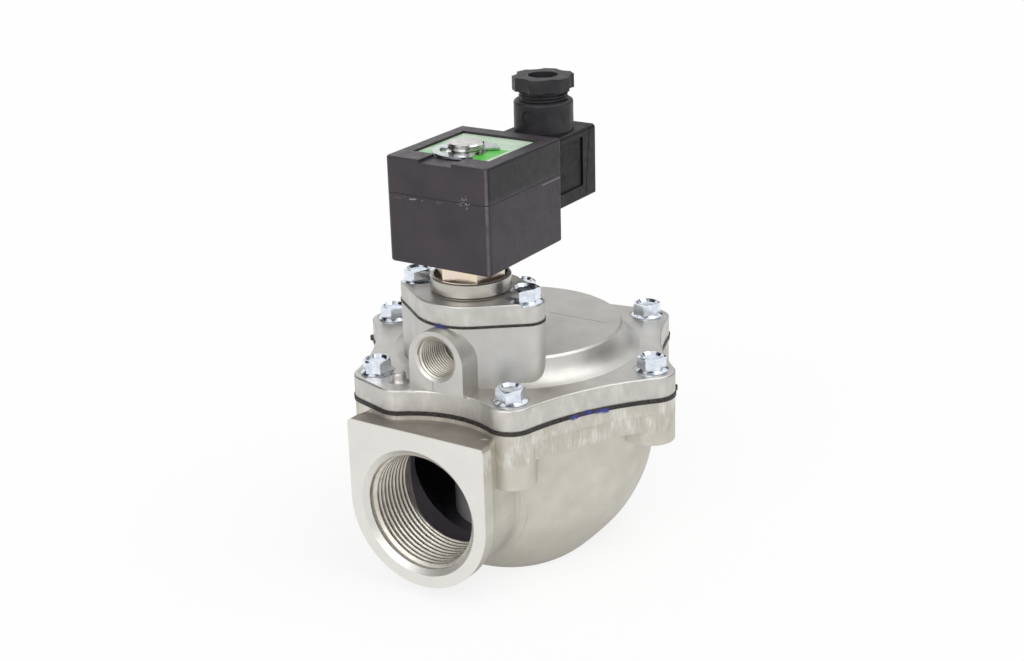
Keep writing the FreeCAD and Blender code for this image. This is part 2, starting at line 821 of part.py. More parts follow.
def pilot_diaphragm():
    """Thin rubber sheet between housing and pilot cover, thicker where it closes on the pilot seat."""
    sheet = pilot_outline(pilot_top_z, pilot_gasket_proud).extrude(Vec(0, 0, pilot_gasket_thickness))
    pad = cylinder(pilot_seat_r + 1, pilot_seat_z, pilot_top_z, pilot_axis)
    holes = [cylinder(bolt_hole_r, pilot_top_z - 1, pilot_cover_z + 1, p) for p in pilot_bolt_places()]
    holes.append(cylinder(rivet_r + loose_clearance, pilot_seat_z - 1, pilot_cover_z + 1, pilot_axis))
    return sheet.fuse(pad).cut(Part.makeCompound(holes)).removeSplitter()


def pilot_disc():
    ring = cylinder(pilot_disc_r, pilot_cover_z, pilot_disc_top_z, pilot_axis)
    return ring.cut(cylinder(rivet_r + loose_clearance, pilot_cover_z - 1, pilot_disc_top_z + 1, pilot_axis))


def pilot_rivet():
    low = pilot_seat_z - rivet_head_height
    high = pilot_disc_top_z + rivet_head_height
    return turned([
        (0.0, low),
        (rivet_head_r - 0.5, low),
        (rivet_head_r, low + 0.5),
        (rivet_head_r, pilot_seat_z),
        (rivet_r, pilot_seat_z),
        (rivet_r, pilot_disc_top_z),
        (rivet_head_r - 0.6, pilot_disc_top_z),
        (rivet_head_r - 1.4, high),
        (0.0, high),
    ], pilot_axis)


def pilot_spring():
    roof = pilot_roof_z + spring_pocket_depth
    return coil_spring(pilot_spring_r, pilot_spring_wire_r, pilot_disc_top_z, roof, pilot_spring_turns,
                       pilot_axis)


def pilot_cover():
    """Two-bolt cover, spot-faced at its bolts, with a turned collar that takes the solenoid's base nut."""
    plate = pilot_outline(pilot_cover_z).extrude(Vec(0, 0, pilot_pad_z - pilot_cover_z))
    plate = softened(plate, pilot_pad_round, pilot_pad_z)
    band_z = collar_top_z - collar_band_height
    edge = 0.5
    collar = turned([
        (0.0, pilot_plate_z),
        (collar_neck_r, pilot_plate_z),
        (collar_neck_r, band_z),
        (collar_r, band_z),
        (collar_r, collar_top_z - edge),
        (collar_r - edge, collar_top_z),
        (0.0, collar_top_z),
    ], pilot_axis)
    roof = pilot_roof_z
    chamber = cylinder(pilot_chamber_r, pilot_cover_z - 1, roof, pilot_axis)
    pocket = cylinder(spring_pocket_r, roof - 1, roof + spring_pocket_depth, pilot_axis)
    tapped = cylinder(base_thread_r, solenoid_floor_z, collar_top_z, pilot_axis)
    nozzle = cylinder(nozzle_r, solenoid_floor_z - 0.5, nozzle_top_z, pilot_axis)
    seat = cylinder(collar_bore_r, hex_seat_z, collar_top_z + 1, pilot_axis)
    orifice = cylinder(orifice_r, roof, nozzle_top_z + 1, pilot_axis)
    solid = plate.fuse(collar).cut(chamber.fuse([pocket, tapped.cut(nozzle), seat, orifice]))
    holes = [cylinder(bolt_hole_r, pilot_cover_z - 1, pilot_plate_z + 1, p) for p in pilot_bolt_places()]
    spots = [cylinder(pilot_spot_face_r, pilot_plate_z, collar_top_z + 1, p) for p in pilot_bolt_places()]
    return solid.cut(Part.makeCompound(holes)).cut(Part.makeCompound(spots)).removeSplitter()


def solenoid_base_nut():
    """Hexagon nut that screws into the collar and clamps the core tube's flange."""
    flange_top = solenoid_floor_z + tube_flange_thickness
    shank = cylinder(base_thread_r - thread_clearance, flange_top, hex_seat_z, pilot_axis)
    nut = hexagon(base_nut_flats, hex_seat_z, base_nut_top_z, pilot_axis, 14)
    corner_r = base_nut_flats / math.sqrt(3)
    crown = turned([
        (0.0, hex_seat_z - 1),
        (corner_r + 1, hex_seat_z - 1),
        (corner_r + 1, base_nut_top_z - 1.2),
        (base_nut_flats / 2 - 0.2, base_nut_top_z),
        (0.0, base_nut_top_z),
    ], pilot_axis)
    bore = cylinder(tube_r + thread_clearance, flange_top - 1, base_nut_top_z + 1, pilot_axis)
    return nut.common(crown).fuse(shank).cut(bore)


def base_o_ring():
    """Rubber ring squashed to the corner between the tube's flange and the collar's bore."""
    inner = tube_flange_r + thread_clearance
    outer = base_thread_r - thread_clearance
    low = solenoid_floor_z
    high = low + tube_flange_thickness - thread_clearance
    edge = (outer - inner) / 4
    return turned([
        (inner + edge, low),
        (outer - edge, low),
        (outer, low + edge),
        (outer, high - edge),
        (outer - edge, high),
        (inner + edge, high),
        (inner, high - edge),
        (inner, low + edge),
    ], pilot_axis)


def core_tube():
    inner = tube_r - tube_wall
    flange = cylinder(tube_flange_r, solenoid_floor_z, solenoid_floor_z + tube_flange_thickness, pilot_axis)
    tube = cylinder(tube_r, solenoid_floor_z, tube_top_z, pilot_axis)
    return tube.fuse(flange).cut(cylinder(inner, solenoid_floor_z - 1, tube_top_z + 1, pilot_axis))


def fixed_core():
    """Stop for the plunger; above the tube it has a groove for the clip and a round head."""
    inner = tube_r - tube_wall - thread_clearance
    edge = core_head_edge
    return turned([
        (0.0, core_z),
        (inner, core_z),
        (inner, tube_top_z),
        (core_neck_r, tube_top_z),
        (core_neck_r, head_z),
        (core_head_r - edge, head_z),
        (core_head_r, head_z + edge),
        (core_head_r, head_top_z - edge),
        (core_head_r - edge, head_top_z),
        (0.0, head_top_z),
    ], pilot_axis)


def plunger():
    inner = tube_r - tube_wall - running_clearance
    edge = 0.5
    body = turned([
        (0.0, plunger_z),
        (inner - edge, plunger_z),
        (inner, plunger_z + edge),
        (inner, plunger_top_z - edge),
        (inner - edge, plunger_top_z),
        (0.0, plunger_top_z),
    ], pilot_axis)
    seal_top = plunger_z - plunger_seal_proud + plunger_seal_length
    seal_pocket = cylinder(plunger_seal_r, plunger_z - 1, seal_top, pilot_axis)
    bore = cylinder(plunger_bore_r, plunger_top_z - plunger_bore_depth, plunger_top_z + 1, pilot_axis)
    return body.cut(seal_pocket).cut(bore)


def plunger_seal():
    low = plunger_z - plunger_seal_proud
    return cylinder(plunger_seal_r - thread_clearance, low, low + plunger_seal_length, pilot_axis)


def plunger_spring():
    low = plunger_top_z - plunger_bore_depth
    return coil_spring(plunger_spring_r, plunger_spring_wire_r, low, core_z, plunger_spring_turns, pilot_axis)


def coil():
    """Moulded coil block: rounded corners, open recess on top with a notch in its front rim."""
    w = coil_half_width
    solid = block(-w, w, coil_front_y, coil_back_y, coil_base_z, coil_top_z)
    for y, corner_r in ((coil_front_y, coil_front_corner_r), (coil_back_y, coil_back_corner_r)):
        upright = [e for e in solid.Edges
                   if abs(e.CenterOfMass.y - y) < 0.01 and abs(e.CenterOfMass.x) > w - 0.01]
        solid = solid.makeFillet(corner_r, upright)
    level = [e for e in solid.Edges
             if min(abs(e.CenterOfMass.z - z) for z in (coil_base_z, coil_top_z)) < 0.01]
    solid = solid.makeFillet(coil_edge_r, level)
    recess = block(-recess_half_width, recess_half_width, recess_front_y, recess_back_y,
                   recess_floor_z, coil_top_z + 1)
    notch = block(-notch_half_width, notch_half_width, coil_front_y - 1, recess_front_y + 1,
                  coil_top_z - notch_depth, coil_top_z + 1)
    bore = cylinder(tube_r + running_clearance, coil_base_z - 1, coil_top_z, pilot_axis)
    tapped = along_y(connector_screw_r + thread_clearance, coil_back_y - connector_screw_depth - 1,
                     coil_back_y + 1, 0, connector_mid_z)
    solid = solid.cut(recess.fuse([notch, bore, tapped]))
    for pin in pin_blades():
        solid = solid.cut(pin)
    return solid


def pin_blades():
    """Three flat blades: two power contacts side by side and the earth below them."""
    front = coil_back_y - pin_root
    back = coil_back_y + pin_length
    half_w = pin_width / 2
    half_t = pin_thickness / 2
    blades = []
    for side in (-1, 1):
        x = side * pin_spacing / 2
        blades.append(block(x - half_t, x + half_t, front, back,
                            connector_mid_z - half_w, connector_mid_z + half_w))
    z = connector_mid_z - earth_pin_drop
    blades.append(block(-half_w, half_w, front, back, z - half_t, z + half_t))
    return blades


def terminal_pins():
    return Part.makeCompound(pin_blades())


def nameplate():
    m = nameplate_margin
    plate = block(-recess_half_width + m, recess_half_width - m, recess_front_y + m, recess_back_y - m,
                  recess_floor_z, nameplate_top_z)
    return plate.cut(cylinder(tube_r + loose_clearance, recess_floor_z - 1, nameplate_top_z + 1, pilot_axis))


def wedge(reach, turn, span, low, high):
    """A three-sided slice about the solenoid's axis, to cut one sector out of a ring."""
    corners = [Vec(0, 0, 0), polar(reach, turn - span / 2), polar(reach, turn + span / 2)]
    corners = lifted([pilot_axis + c for c in corners], low)
    return Part.Face(Part.makePolygon(corners + corners[:1])).extrude(Vec(0, 0, high - low))


def retaining_clip():
    """Flat spring clip: open on one side, with three prongs that grip the groove under the core's head."""
    low = clip_z - 1
    high = head_z + 1
    reach = clip_r * 2
    ring = cylinder(clip_r, clip_z, clip_z + clip_thickness, pilot_axis)
    ring = ring.cut(cylinder(core_neck_r + thread_clearance, low, high, pilot_axis))
    for side in (-1, 1):
        relief = cylinder(clip_relief_r, low, high, pilot_axis)
        turn = clip_turn + side * clip_relief_turn
        ring = ring.cut(relief.common(wedge(reach, turn, clip_relief_span, low, high)))
    return ring.cut(wedge(reach, clip_turn, clip_opening, low, high))


def connector_gasket():
    i = connector_gasket_inset
    x = connector_half_width - i
    outer = block(-x, x, coil_back_y, connector_front_y, connector_bottom_z + i, connector_top_z - i)
    window = block(-window_half_width, window_half_width, coil_back_y - 1, connector_front_y + 1,
                   connector_bottom_z + window_inset, connector_top_z - window_inset)
    return outer.cut(window)


def connector_box():
    """The plug's outer form, softly rounded along its two upper long edges."""
    solid = block(-connector_half_width, connector_half_width, connector_front_y, connector_back_y,
                  connector_bottom_z, connector_top_z)
    upper = [e for e in solid.Edges
             if abs(e.tangentAt(e.FirstParameter).y) > 0.99
             and abs(e.CenterOfMass.z - connector_top_z) < 0.01]
    return solid.makeFillet(connector_corner_r, upper)


def behind_split(x, low, high, shift=0.0):
    """Everything behind the slanting parting plane of housing and lid, moved back by a shift."""
    slope = (connector_split_top_y - connector_split_bottom_y) / (connector_top_z - connector_bottom_z)
    front_low = connector_split_bottom_y + slope * (low - connector_bottom_z) + shift
    front_high = connector_split_bottom_y + slope * (high - connector_bottom_z) + shift
    far = connector_back_y + 5
    corners = [Vec(-x, front_low, low), Vec(-x, far, low), Vec(-x, far, high), Vec(-x, front_high, high)]
    return Part.Face(Part.makePolygon(corners + corners[:1])).extrude(Vec(2 * x, 0, 0))


def connector_housing():
    """Plug housing: square box open at the back, terminal window in front, cable gland boss on top."""
    beyond = connector_half_width + 1
    outer = connector_box().cut(behind_split(beyond, connector_bottom_z - 1, connector_top_z + 1))
    centre = Vec(0, gland_y, 0)
    boss = turned([
        (0.0, connector_top_z - 1),
        (gland_boss_r, connector_top_z - 1),
        (gland_boss_r, gland_boss_top_z - gland_boss_round),
        (gland_boss_r - gland_boss_round * 0.3, gland_boss_top_z - gland_boss_round * 0.3,
         gland_boss_r - gland_boss_round, gland_boss_top_z),
        (0.0, gland_boss_top_z),
    ], centre)
    boss_front = gland_y - gland_boss_r
    dimple_z = gland_boss_top_z - gland_dimple_drop
    dimple = along_y(gland_dimple_r, boss_front - 1, boss_front + gland_dimple_depth, 0, dimple_z)
    inner_x = connector_half_width - connector_wall
    cavity = block(-inner_x, inner_x, connector_front_y + connector_face_wall, connector_back_y,
                   connector_bottom_z + connector_wall, connector_top_z - connector_wall)
    window = block(-window_half_width, window_half_width, connector_front_y - 1,
                   connector_front_y + connector_face_wall + 1,
                   connector_bottom_z + window_inset, connector_top_z - window_inset)
    thread_z = gland_boss_top_z - gland_thread_depth
    bores = [cylinder(grommet_hole_r, connector_top_z - connector_wall - 1, gland_boss_top_z, centre),
             cylinder(gland_bore_r, gland_seat_z, gland_boss_top_z, centre),
             cylinder(gland_thread_r + thread_clearance, thread_z, gland_boss_top_z + 1, centre)]
    mark = block(connector_half_width - mark_recess_depth, connector_half_width + 1,
                 connector_front_y + mark_front_inset, connector_split_bottom_y - mark_back_inset,
                 connector_bottom_z + mark_bottom_inset, connector_top_z - mark_top_inset)
    solid = outer.fuse(boss.cut(dimple)).cut(cavity.fuse([window, mark]))
    return solid.cut(bores[0].fuse(bores[1:])).removeSplitter()


def terminal_block():
    """Insulating carrier of the three sockets, seated in the housing's window."""
    c = loose_clearance
    x = window_half_width - c
    low = connector_bottom_z + window_inset + c
    high = connector_top_z - window_inset - c
    solid = block(-x, x, connector_front_y, connector_front_y + terminal_block_depth, low, high)
    for pin in pin_blades():
        b = pin.BoundBox
        solid = solid.cut(block(b.XMin - c, b.XMax + c, b.YMin, b.YMax + c, b.ZMin - c, b.ZMax + c))
    hole = along_y(connector_screw_r + c, connector_front_y - 1,
                   connector_front_y + terminal_block_depth + 1, 0, connector_mid_z)
    return solid.cut(hole)


def connector_cover():
    """Rear lid behind a slanting joint, with a lip that locates in the housing."""
    beyond = connector_half_width + 1
    outer = connector_box()
    back = [e for e in outer.Edges if abs(e.CenterOfMass.y - connector_back_y) < 0.01]
    outer = outer.makeFillet(cover_back_round, back)
    lid = outer.common(behind_split(beyond, connector_bottom_z - 1, connector_top_z + 1, split_groove))
    c = loose_clearance
    inner_x = connector_half_width - connector_wall - c
    low = connector_bottom_z + connector_wall + c
    high = connector_top_z - connector_wall - c
    wall = cover_lip_wall
    rim = behind_split(inner_x, low, high, -cover_lip_depth)
    rim = rim.cut(behind_split(inner_x - wall, low + wall, high - wall, -cover_lip_depth - 1))
    rim = rim.cut(behind_split(beyond, low - 1, high + 1, split_groove + 1))
    floor = connector_back_y - connector_screw_head_height - connector_screw_sink
    hole = along_y(connector_screw_r + c, connector_split_bottom_y - 1, connector_back_y + 1, 0,
                   connector_mid_z)
    head = along_y(connector_screw_head_r + c, floor, connector_back_y + 1, 0, connector_mid_z)
    return lid.fuse(rim).cut(hole.fuse(head))


def connector_screw():
    """Long screw through lid, housing and terminal block into the coil."""
    head_y = connector_back_y - connector_screw_head_height - connector_screw_sink
    head = along_y(connector_screw_head_r, head_y, head_y + connector_screw_head_height, 0, connector_mid_z)
    half = connector_screw_slot / 2
    slot = block(-connector_screw_head_r - 1, connector_screw_head_r + 1,
                 head_y + connector_screw_head_height / 2, connector_back_y + 1,
                 connector_mid_z - half, connector_mid_z + half)
    shank = along_y(connector_screw_r, coil_back_y - connector_screw_depth, head_y + 0.5, 0, connector_mid_z)
    return head.cut(slot).fuse(shank)


def gland_grommet():
    top = gland_boss_top_z - gland_thread_depth - gland_washer_thickness
    centre = Vec(0, gland_y, 0)
    ring = cylinder(gland_bore_r - loose_clearance, gland_seat_z, top, centre)
    return ring.cut(cylinder(grommet_hole_r, gland_seat_z - 1, top + 1, centre))


def gland_washer():
    top = gland_boss_top_z - gland_thread_depth
    centre = Vec(0, gland_y, 0)
    ring = cylinder(gland_bore_r - loose_clearance, top - gland_washer_thickness, top, centre)
    return ring.cut(cylinder(gland_hole_r, top - gland_washer_thickness - 1, top + 1, centre))


def gland_nut():
    """Gland nut with six square lobes between hollow flanks, over a threaded shank."""
    centre = Vec(0, gland_y, 0)
    low = gland_nut_bottom_z
    high = low + gland_nut_height
    pitch = 360 / gland_nut_lobes
    half = math.degrees(math.asin(gland_nut_lobe_width / 2 / gland_nut_lobe_r))
    edges = []
    for i in range(gland_nut_lobes):
        turn = gland_nut_turn + pitch * i
        a = centre + polar(gland_nut_lobe_r, turn - half)
        b = centre + polar(gland_nut_lobe_r, turn + half)
        hollow = centre + polar(gland_nut_valley_r, turn + pitch / 2)
        c = centre + polar(gland_nut_lobe_r, turn + pitch - half)
        edges.append(Part.makeLine(Vec(a.x, a.y, low), Vec(b.x, b.y, low)))
        edges.append(Part.Arc(Vec(b.x, b.y, low), Vec(hollow.x, hollow.y, low), Vec(c.x, c.y, low)).toShape())
    head = Part.Face(Part.Wire(edges)).extrude(Vec(0, 0, high - low))
    bottom = gland_boss_top_z - gland_thread_depth
    shank = cylinder(gland_thread_r, bottom, gland_boss_top_z, centre)
    core = cylinder(gland_core_r, bottom, low + 1, centre)
    return head.fuse([shank, core]).cut(cylinder(gland_hole_r, bottom - 1, high + 1, centre))


nodes = {
    "valve_body": valve_body,
    "main_diaphragm": main_diaphragm,
    "upper_disc": upper_disc,
    "lower_disc": lower_disc,
    "disc_screw": disc_screw,
    "disc_nut": disc_nut,
    "main_spring": main_spring,
    "main_cover": main_cover,
    "cover_bolts": cover_bolts,
    "pilot_diaphragm": pilot_diaphragm,
    "pilot_disc": pilot_disc,
    "pilot_rivet": pilot_rivet,
    "pilot_spring": pilot_spring,
    "pilot_cover": pilot_cover,
    "pilot_bolts": pilot_bolts,
    "solenoid_base_nut": solenoid_base_nut,
    "base_o_ring": base_o_ring,
    "core_tube": core_tube,
    "fixed_core": fixed_core,
    "plunger": plunger,
    "plunger_seal": plunger_seal,
    "plunger_spring": plunger_spring,
    "coil": coil,
    "terminal_pins": terminal_pins,
    "nameplate": nameplate,
    "retaining_clip": retaining_clip,
    "connector_gasket": connector_gasket,
    "connector_housing": connector_housing,
    "terminal_block": terminal_block,
    "connector_cover": connector_cover,
    "connector_screw": connector_screw,
    "gland_grommet": gland_grommet,
    "gland_washer": gland_washer,
    "gland_nut": gland_nut,
}

os.makedirs("parts", exist_ok=True)
for name, build in nodes.items():
    shape = build()
    shape.exportStep("parts/" + name + ".step")
    print(name, "solids", len(shape.Solids), "valid", shape.isValid(), "volume", round(shape.Volume, 1))
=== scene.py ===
# %% [markdown]
# # A dust collector pulse valve, dressed for its picture
# The valve comes in as a fixed frame of finished solids, in metres, with the outlet's face at the
# origin, the inlet towards -Y and the electrical plug towards +Y. This lesson sets up the camera,
# the floor and the light. Then it adds what the solids leave out: the finish of every surface,
# soft parts that flex, and screw threads. Each step says what the real thing is before it is made.

# %% Load the frame
import bpy
import bmesh
import json
import math
from mathutils import Matrix, Vector
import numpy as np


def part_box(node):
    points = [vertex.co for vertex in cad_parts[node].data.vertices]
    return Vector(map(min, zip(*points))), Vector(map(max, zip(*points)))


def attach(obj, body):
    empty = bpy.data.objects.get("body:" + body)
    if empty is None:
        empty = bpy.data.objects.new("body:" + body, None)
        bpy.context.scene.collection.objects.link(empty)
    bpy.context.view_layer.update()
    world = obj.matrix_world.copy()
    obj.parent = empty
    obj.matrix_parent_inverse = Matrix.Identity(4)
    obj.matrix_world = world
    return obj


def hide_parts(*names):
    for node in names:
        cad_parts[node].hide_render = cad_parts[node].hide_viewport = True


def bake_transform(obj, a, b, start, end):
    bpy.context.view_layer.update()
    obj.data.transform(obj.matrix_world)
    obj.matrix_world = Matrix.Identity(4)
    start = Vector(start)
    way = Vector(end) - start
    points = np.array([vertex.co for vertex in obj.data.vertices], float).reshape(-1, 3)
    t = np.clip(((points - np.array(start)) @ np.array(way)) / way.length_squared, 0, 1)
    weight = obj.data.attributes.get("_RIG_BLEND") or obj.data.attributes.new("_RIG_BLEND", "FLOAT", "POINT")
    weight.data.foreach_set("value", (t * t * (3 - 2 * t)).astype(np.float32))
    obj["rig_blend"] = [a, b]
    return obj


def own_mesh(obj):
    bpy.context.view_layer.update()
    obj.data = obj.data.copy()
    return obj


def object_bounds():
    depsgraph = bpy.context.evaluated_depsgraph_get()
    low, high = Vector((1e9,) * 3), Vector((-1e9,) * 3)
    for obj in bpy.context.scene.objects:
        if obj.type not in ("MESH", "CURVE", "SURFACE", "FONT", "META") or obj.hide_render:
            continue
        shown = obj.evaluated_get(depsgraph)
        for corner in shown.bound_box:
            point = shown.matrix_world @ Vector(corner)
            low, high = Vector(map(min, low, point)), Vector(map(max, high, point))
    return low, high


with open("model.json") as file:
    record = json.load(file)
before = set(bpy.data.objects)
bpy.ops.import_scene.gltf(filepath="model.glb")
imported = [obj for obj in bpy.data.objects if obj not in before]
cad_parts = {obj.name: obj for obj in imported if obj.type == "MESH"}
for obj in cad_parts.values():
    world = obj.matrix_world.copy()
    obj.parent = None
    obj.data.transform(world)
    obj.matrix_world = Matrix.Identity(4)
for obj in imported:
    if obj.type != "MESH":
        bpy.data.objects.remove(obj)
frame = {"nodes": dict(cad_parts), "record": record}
cad_low, cad_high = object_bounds()
nodes = frame["nodes"]
ports = {mount["name"]: mount for mount in frame["record"]["mounts"]}
mm = 0.001
print("frame loaded:", len(nodes), "pieces,", round((cad_high.z - cad_low.z) / mm, 1), "mm tall")

# %% [markdown]
# The picture was taken from the valve's front right, a little above it. A camera's place can be
# typed in as three numbers, but it is easier to read as an azimuth round the object, an elevation
# above the floor and a distance. One function turns the two angles into a direction, and the lamps
# and flags further down use it too. The small roll is the photographer's tilt. The camera's axes
# are built from those angles and written straight into its matrix.

# %% Place the camera
azimuth = math.radians(33.052)
elevation = math.radians(20.508)
roll = math.radians(-1.627)
camera_distance = 700.99 * mm
slide_right = -2.145 * mm
slide_up = 4.762 * mm
aim_point = Vector((0, 0, 80 * mm))
focal_length = 60.97
nearest_seen = 10 * mm


def towards(turn, height):
    """The direction of a turn round the valve and a height above the floor, both in radians."""
    flat = math.cos(height)
    return Vector((math.sin(turn) * flat, -math.cos(turn) * flat, math.sin(height)))


back = towards(azimuth, elevation)
level_right = Vector((math.cos(azimuth), math.sin(azimuth), 0))
level_up = back.cross(level_right)
right = level_right * math.cos(roll) + level_up * math.sin(roll)
up = level_up * math.cos(roll) - level_right * math.sin(roll)
camera_place = aim_point + right * slide_right + up * slide_up + back * camera_distance

bpy.ops.object.camera_add()
camera = bpy.context.object
camera.name = "studio_camera"
camera.data.lens = focal_length
camera.data.clip_start = nearest_seen
axes = Matrix((right, up, back)).transposed().to_4x4()
camera.matrix_world = Matrix.Translation(camera_place) @ axes
bpy.context.scene.camera = camera
bpy.context.scene.view_settings.view_transform = "Standard"
print("camera at", [round(value, 3) for value in camera_place])

# %% [markdown]
# Colours are written as sRGB hex, as a paint chart or a colour picker gives them. Shaders work in
# linear light, so one function turns the first into the second. A second function adds a node,
# fills its settings and links its inputs, so that every material below reads as a list of nodes.
# Two more join a pair of masks: both is their product, and either is the larger of the two.

# %% Helpers for shading
def colour(code):
    """An sRGB hex colour as the linear values that a shader reads."""
    parts = [int(code[i:i + 2], 16) / 255 for i in (1, 3, 5)]
    linear = [p / 12.92 if p <= 0.04045 else ((p + 0.055) / 1.055) ** 2.4 for p in parts]
    return (*linear, 1.0)


def add(tree, kind, inputs=None, **settings):
    """Adds a shader node, sets its properties, and fills its inputs with values or links."""
    node = tree.nodes.new("ShaderNode" + kind)
    for name, value in settings.items():
        setattr(node, name, value)
    for name, value in (inputs or {}).items():
        if isinstance(value, bpy.types.NodeSocket):
            tree.links.new(value, node.inputs[name])
        else:
            node.inputs[name].default_value = value
    return node


def both(tree, first, second):
    return add(tree, "Math", {0: first, 1: second}, operation="MULTIPLY").outputs[0]


def either(tree, first, second):
    return add(tree, "Math", {0: first, 1: second}, operation="MAXIMUM").outputs[0]


print("mid grey in linear light:", round(colour("#808080")[0], 3))

# %% [markdown]
# The valve stands on a pale studio floor. A white floor under soft lamps renders light grey, and
# more light would burn out the metal. So the camera sees a mix of plain white and the lit floor:
# the ground stays white and still keeps the valve's soft shadow. Mirror and glass rays see the
# same floor as the camera does.

# %% Make the studio floor
floor_size = 12.0
shadow_share = 0.18


def seen_directly(tree):
    """One for camera, mirror and glass rays, and zero for the light that surfaces gather."""
    rays = add(tree, "LightPath").outputs
    mirror = either(tree, rays["Is Camera Ray"], rays["Is Glossy Ray"])
    return either(tree, mirror, rays["Is Transmission Ray"])


def studio_floor():
    material = bpy.data.materials.new("studio_paper")
    material.use_nodes = True
    tree = material.node_tree
    paper = tree.nodes["Principled BSDF"]
    paper.inputs["Base Color"].default_value = colour("#fbfbfa")
    paper.inputs["Roughness"].default_value = 0.9
    paper.inputs["Specular IOR Level"].default_value = 0.0
    white = add(tree, "Emission", {"Color": (1, 1, 1, 1), "Strength": 1.0})
    share = both(tree, seen_directly(tree), 1 - shadow_share)
    mix = add(tree, "MixShader", {0: share, 1: paper.outputs[0], 2: white.outputs[0]})
    tree.links.new(mix.outputs[0], tree.nodes["Material Output"].inputs["Surface"])
    bpy.ops.mesh.primitive_plane_add(size=floor_size, location=(0, 0, cad_low.z))
    floor = bpy.context.object
    floor.name = "studio_floor"
    floor.data.materials.append(material)
    return floor


print("floor made:", studio_floor().name)

# %% [markdown]
# Product photographs are lit softly and evenly. The world gives even light from all round, and
# two sun lamps with a very wide disc stand in for large soft boxes: one high on the right, one
# low in front. Suns have no falloff, so the floor stays even out to its far edge.

# %% Light the studio
sky_level = 0.62


def studio_sky():
    world = bpy.data.worlds.new("studio_sky")
    bpy.context.scene.world = world
    world.use_nodes = True
    tree = world.node_tree
    tree.nodes.clear()
    soft = add(tree, "Background", {"Color": (1, 1, 1, 1), "Strength": sky_level})
    white = add(tree, "Background", {"Color": (1, 1, 1, 1), "Strength": 1.0})
    mix = add(tree, "MixShader", {0: seen_directly(tree), 1: soft.outputs[0], 2: white.outputs[0]})
    add(tree, "OutputWorld", {"Surface": mix.outputs[0]})


def soft_box(name, turn, height, strength, width):
    """A sun lamp that shines from a turn round the valve and a height above the floor, in degrees."""
    bpy.ops.object.light_add(type="SUN")
    lamp = bpy.context.object
    lamp.name = name
    lamp.data.energy = strength
    lamp.data.angle = math.radians(width)
    direction = towards(math.radians(turn), math.radians(height))
    lamp.rotation_euler = direction.to_track_quat("Z", "Y").to_euler()


studio_sky()
soft_box("key_box", 105, 62, 0.8, 40)
soft_box("front_box", 5, 32, 0.95, 50)

# %% [markdown]
# Bright metal shows the room, and a room that is white all round makes it look like plaster.
# Photographers stand black flags beside the object, out of the picture, to draw dark lines into
# it. These flags are seen by mirror rays only, so they shade nothing and stay out of every view.

# %% Stand the black flags
flag_tone = "#15151a"
flag_reach = 900 * mm


def black_flag(name, turn, height, width, tall):
    """A dark card facing the valve from a turn and a height in degrees, with its size in metres."""
    direction = towards(math.radians(turn), math.radians(height))
    bpy.ops.mesh.primitive_plane_add(size=1, location=aim_point + direction * flag_reach)
    card = bpy.context.object
    card.name = name
    card.scale = (width, tall, 1)
    card.rotation_euler = direction.to_track_quat("Z", "Y").to_euler()
    material = bpy.data.materials.get("black_felt") or bpy.data.materials.new("black_felt")
    material.use_nodes = True
    felt = material.node_tree.nodes["Principled BSDF"]
    felt.inputs["Base Color"].default_value = colour(flag_tone)
    felt.inputs["Roughness"].default_value = 0.95
    card.data.materials.append(material)
    card.visible_camera = False
    card.visible_diffuse = False
    card.visible_transmission = False
    card.visible_shadow = False


black_flag("flag_left", -75, 22, 0.95, 1.2)
black_flag("flag_right", 128, 14, 0.8, 0.9)
black_flag("flag_top", 20, 84, 0.5, 0.35)
black_flag("flag_front", 40, 8, 0.28, 0.5)
black_flag("flag_back", 190, 10, 0.8, 0.3)

# %% [markdown]
# Most finishes here are built from the same few steps, so they get names. A surface starts with a
# shader and the piece's own coordinates in metres. Mottle is a noise whose spots have a real size.
# A side is everything past a level in one direction, a bore is everything inside a cylinder, and a
# spot is everything near a point. They mark where a cutter, a hand or a brush touched the piece, and
# where shade or light is painted, and their edges are sharp unless a softness is given.

# %% Helpers for finishes
sharp = 0.05 * mm


def new_finish(name, metallic=0.0, **constants):
    """A material with its constant sockets set. Returns it, its node tree, its shader and the place."""
    material = bpy.data.materials.new(name)
    material.use_nodes = True
    tree = material.node_tree
    shader = tree.nodes["Principled BSDF"]
    shader.inputs["Metallic"].default_value = metallic
    for socket, value in constants.items():
        shader.inputs[socket.replace("_", " ")].default_value = value
    place = add(tree, "TexCoord").outputs["Object"]
    return material, tree, shader, place


def mottle(tree, place, size, low=0.0, high=1.0, stretch=(1, 1, 1), detail=3.0, spread=0.16):
    """A soft noise with spots of a size in metres, from a low to a high value."""
    scaled = add(tree, "VectorMath", {0: place, 1: [s / size for s in stretch]}, operation="MULTIPLY")
    noise = add(tree, "TexNoise", {"Vector": scaled.outputs[0], "Scale": 1.0, "Detail": detail})
    limits = {"Value": noise.outputs["Fac"], "From Min": 0.5 - spread, "From Max": 0.5 + spread,
              "To Min": low, "To Max": high}
    return add(tree, "MapRange", limits).outputs[0]


def side(tree, place, direction, level, soft=sharp):
    """One past a level along a direction, and zero before it."""
    along = add(tree, "VectorMath", {0: place, 1: direction}, operation="DOT_PRODUCT")
    limits = {"Value": along.outputs["Value"], "From Min": level - soft, "From Max": level + soft}
    return add(tree, "MapRange", limits).outputs[0]


def bore(tree, place, centre, axis, radius):
    """One within a radius of an axis, and zero outside it."""
    local = add(tree, "VectorMath", {0: place, 1: centre}, operation="SUBTRACT")
    across = add(tree, "VectorMath", {0: local.outputs[0], 1: axis}, operation="CROSS_PRODUCT")
    reach = add(tree, "VectorMath", {0: across.outputs[0]}, operation="LENGTH")
    limits = {"Value": reach.outputs["Value"], "From Min": radius + sharp, "From Max": radius - sharp}
    return add(tree, "MapRange", limits).outputs[0]


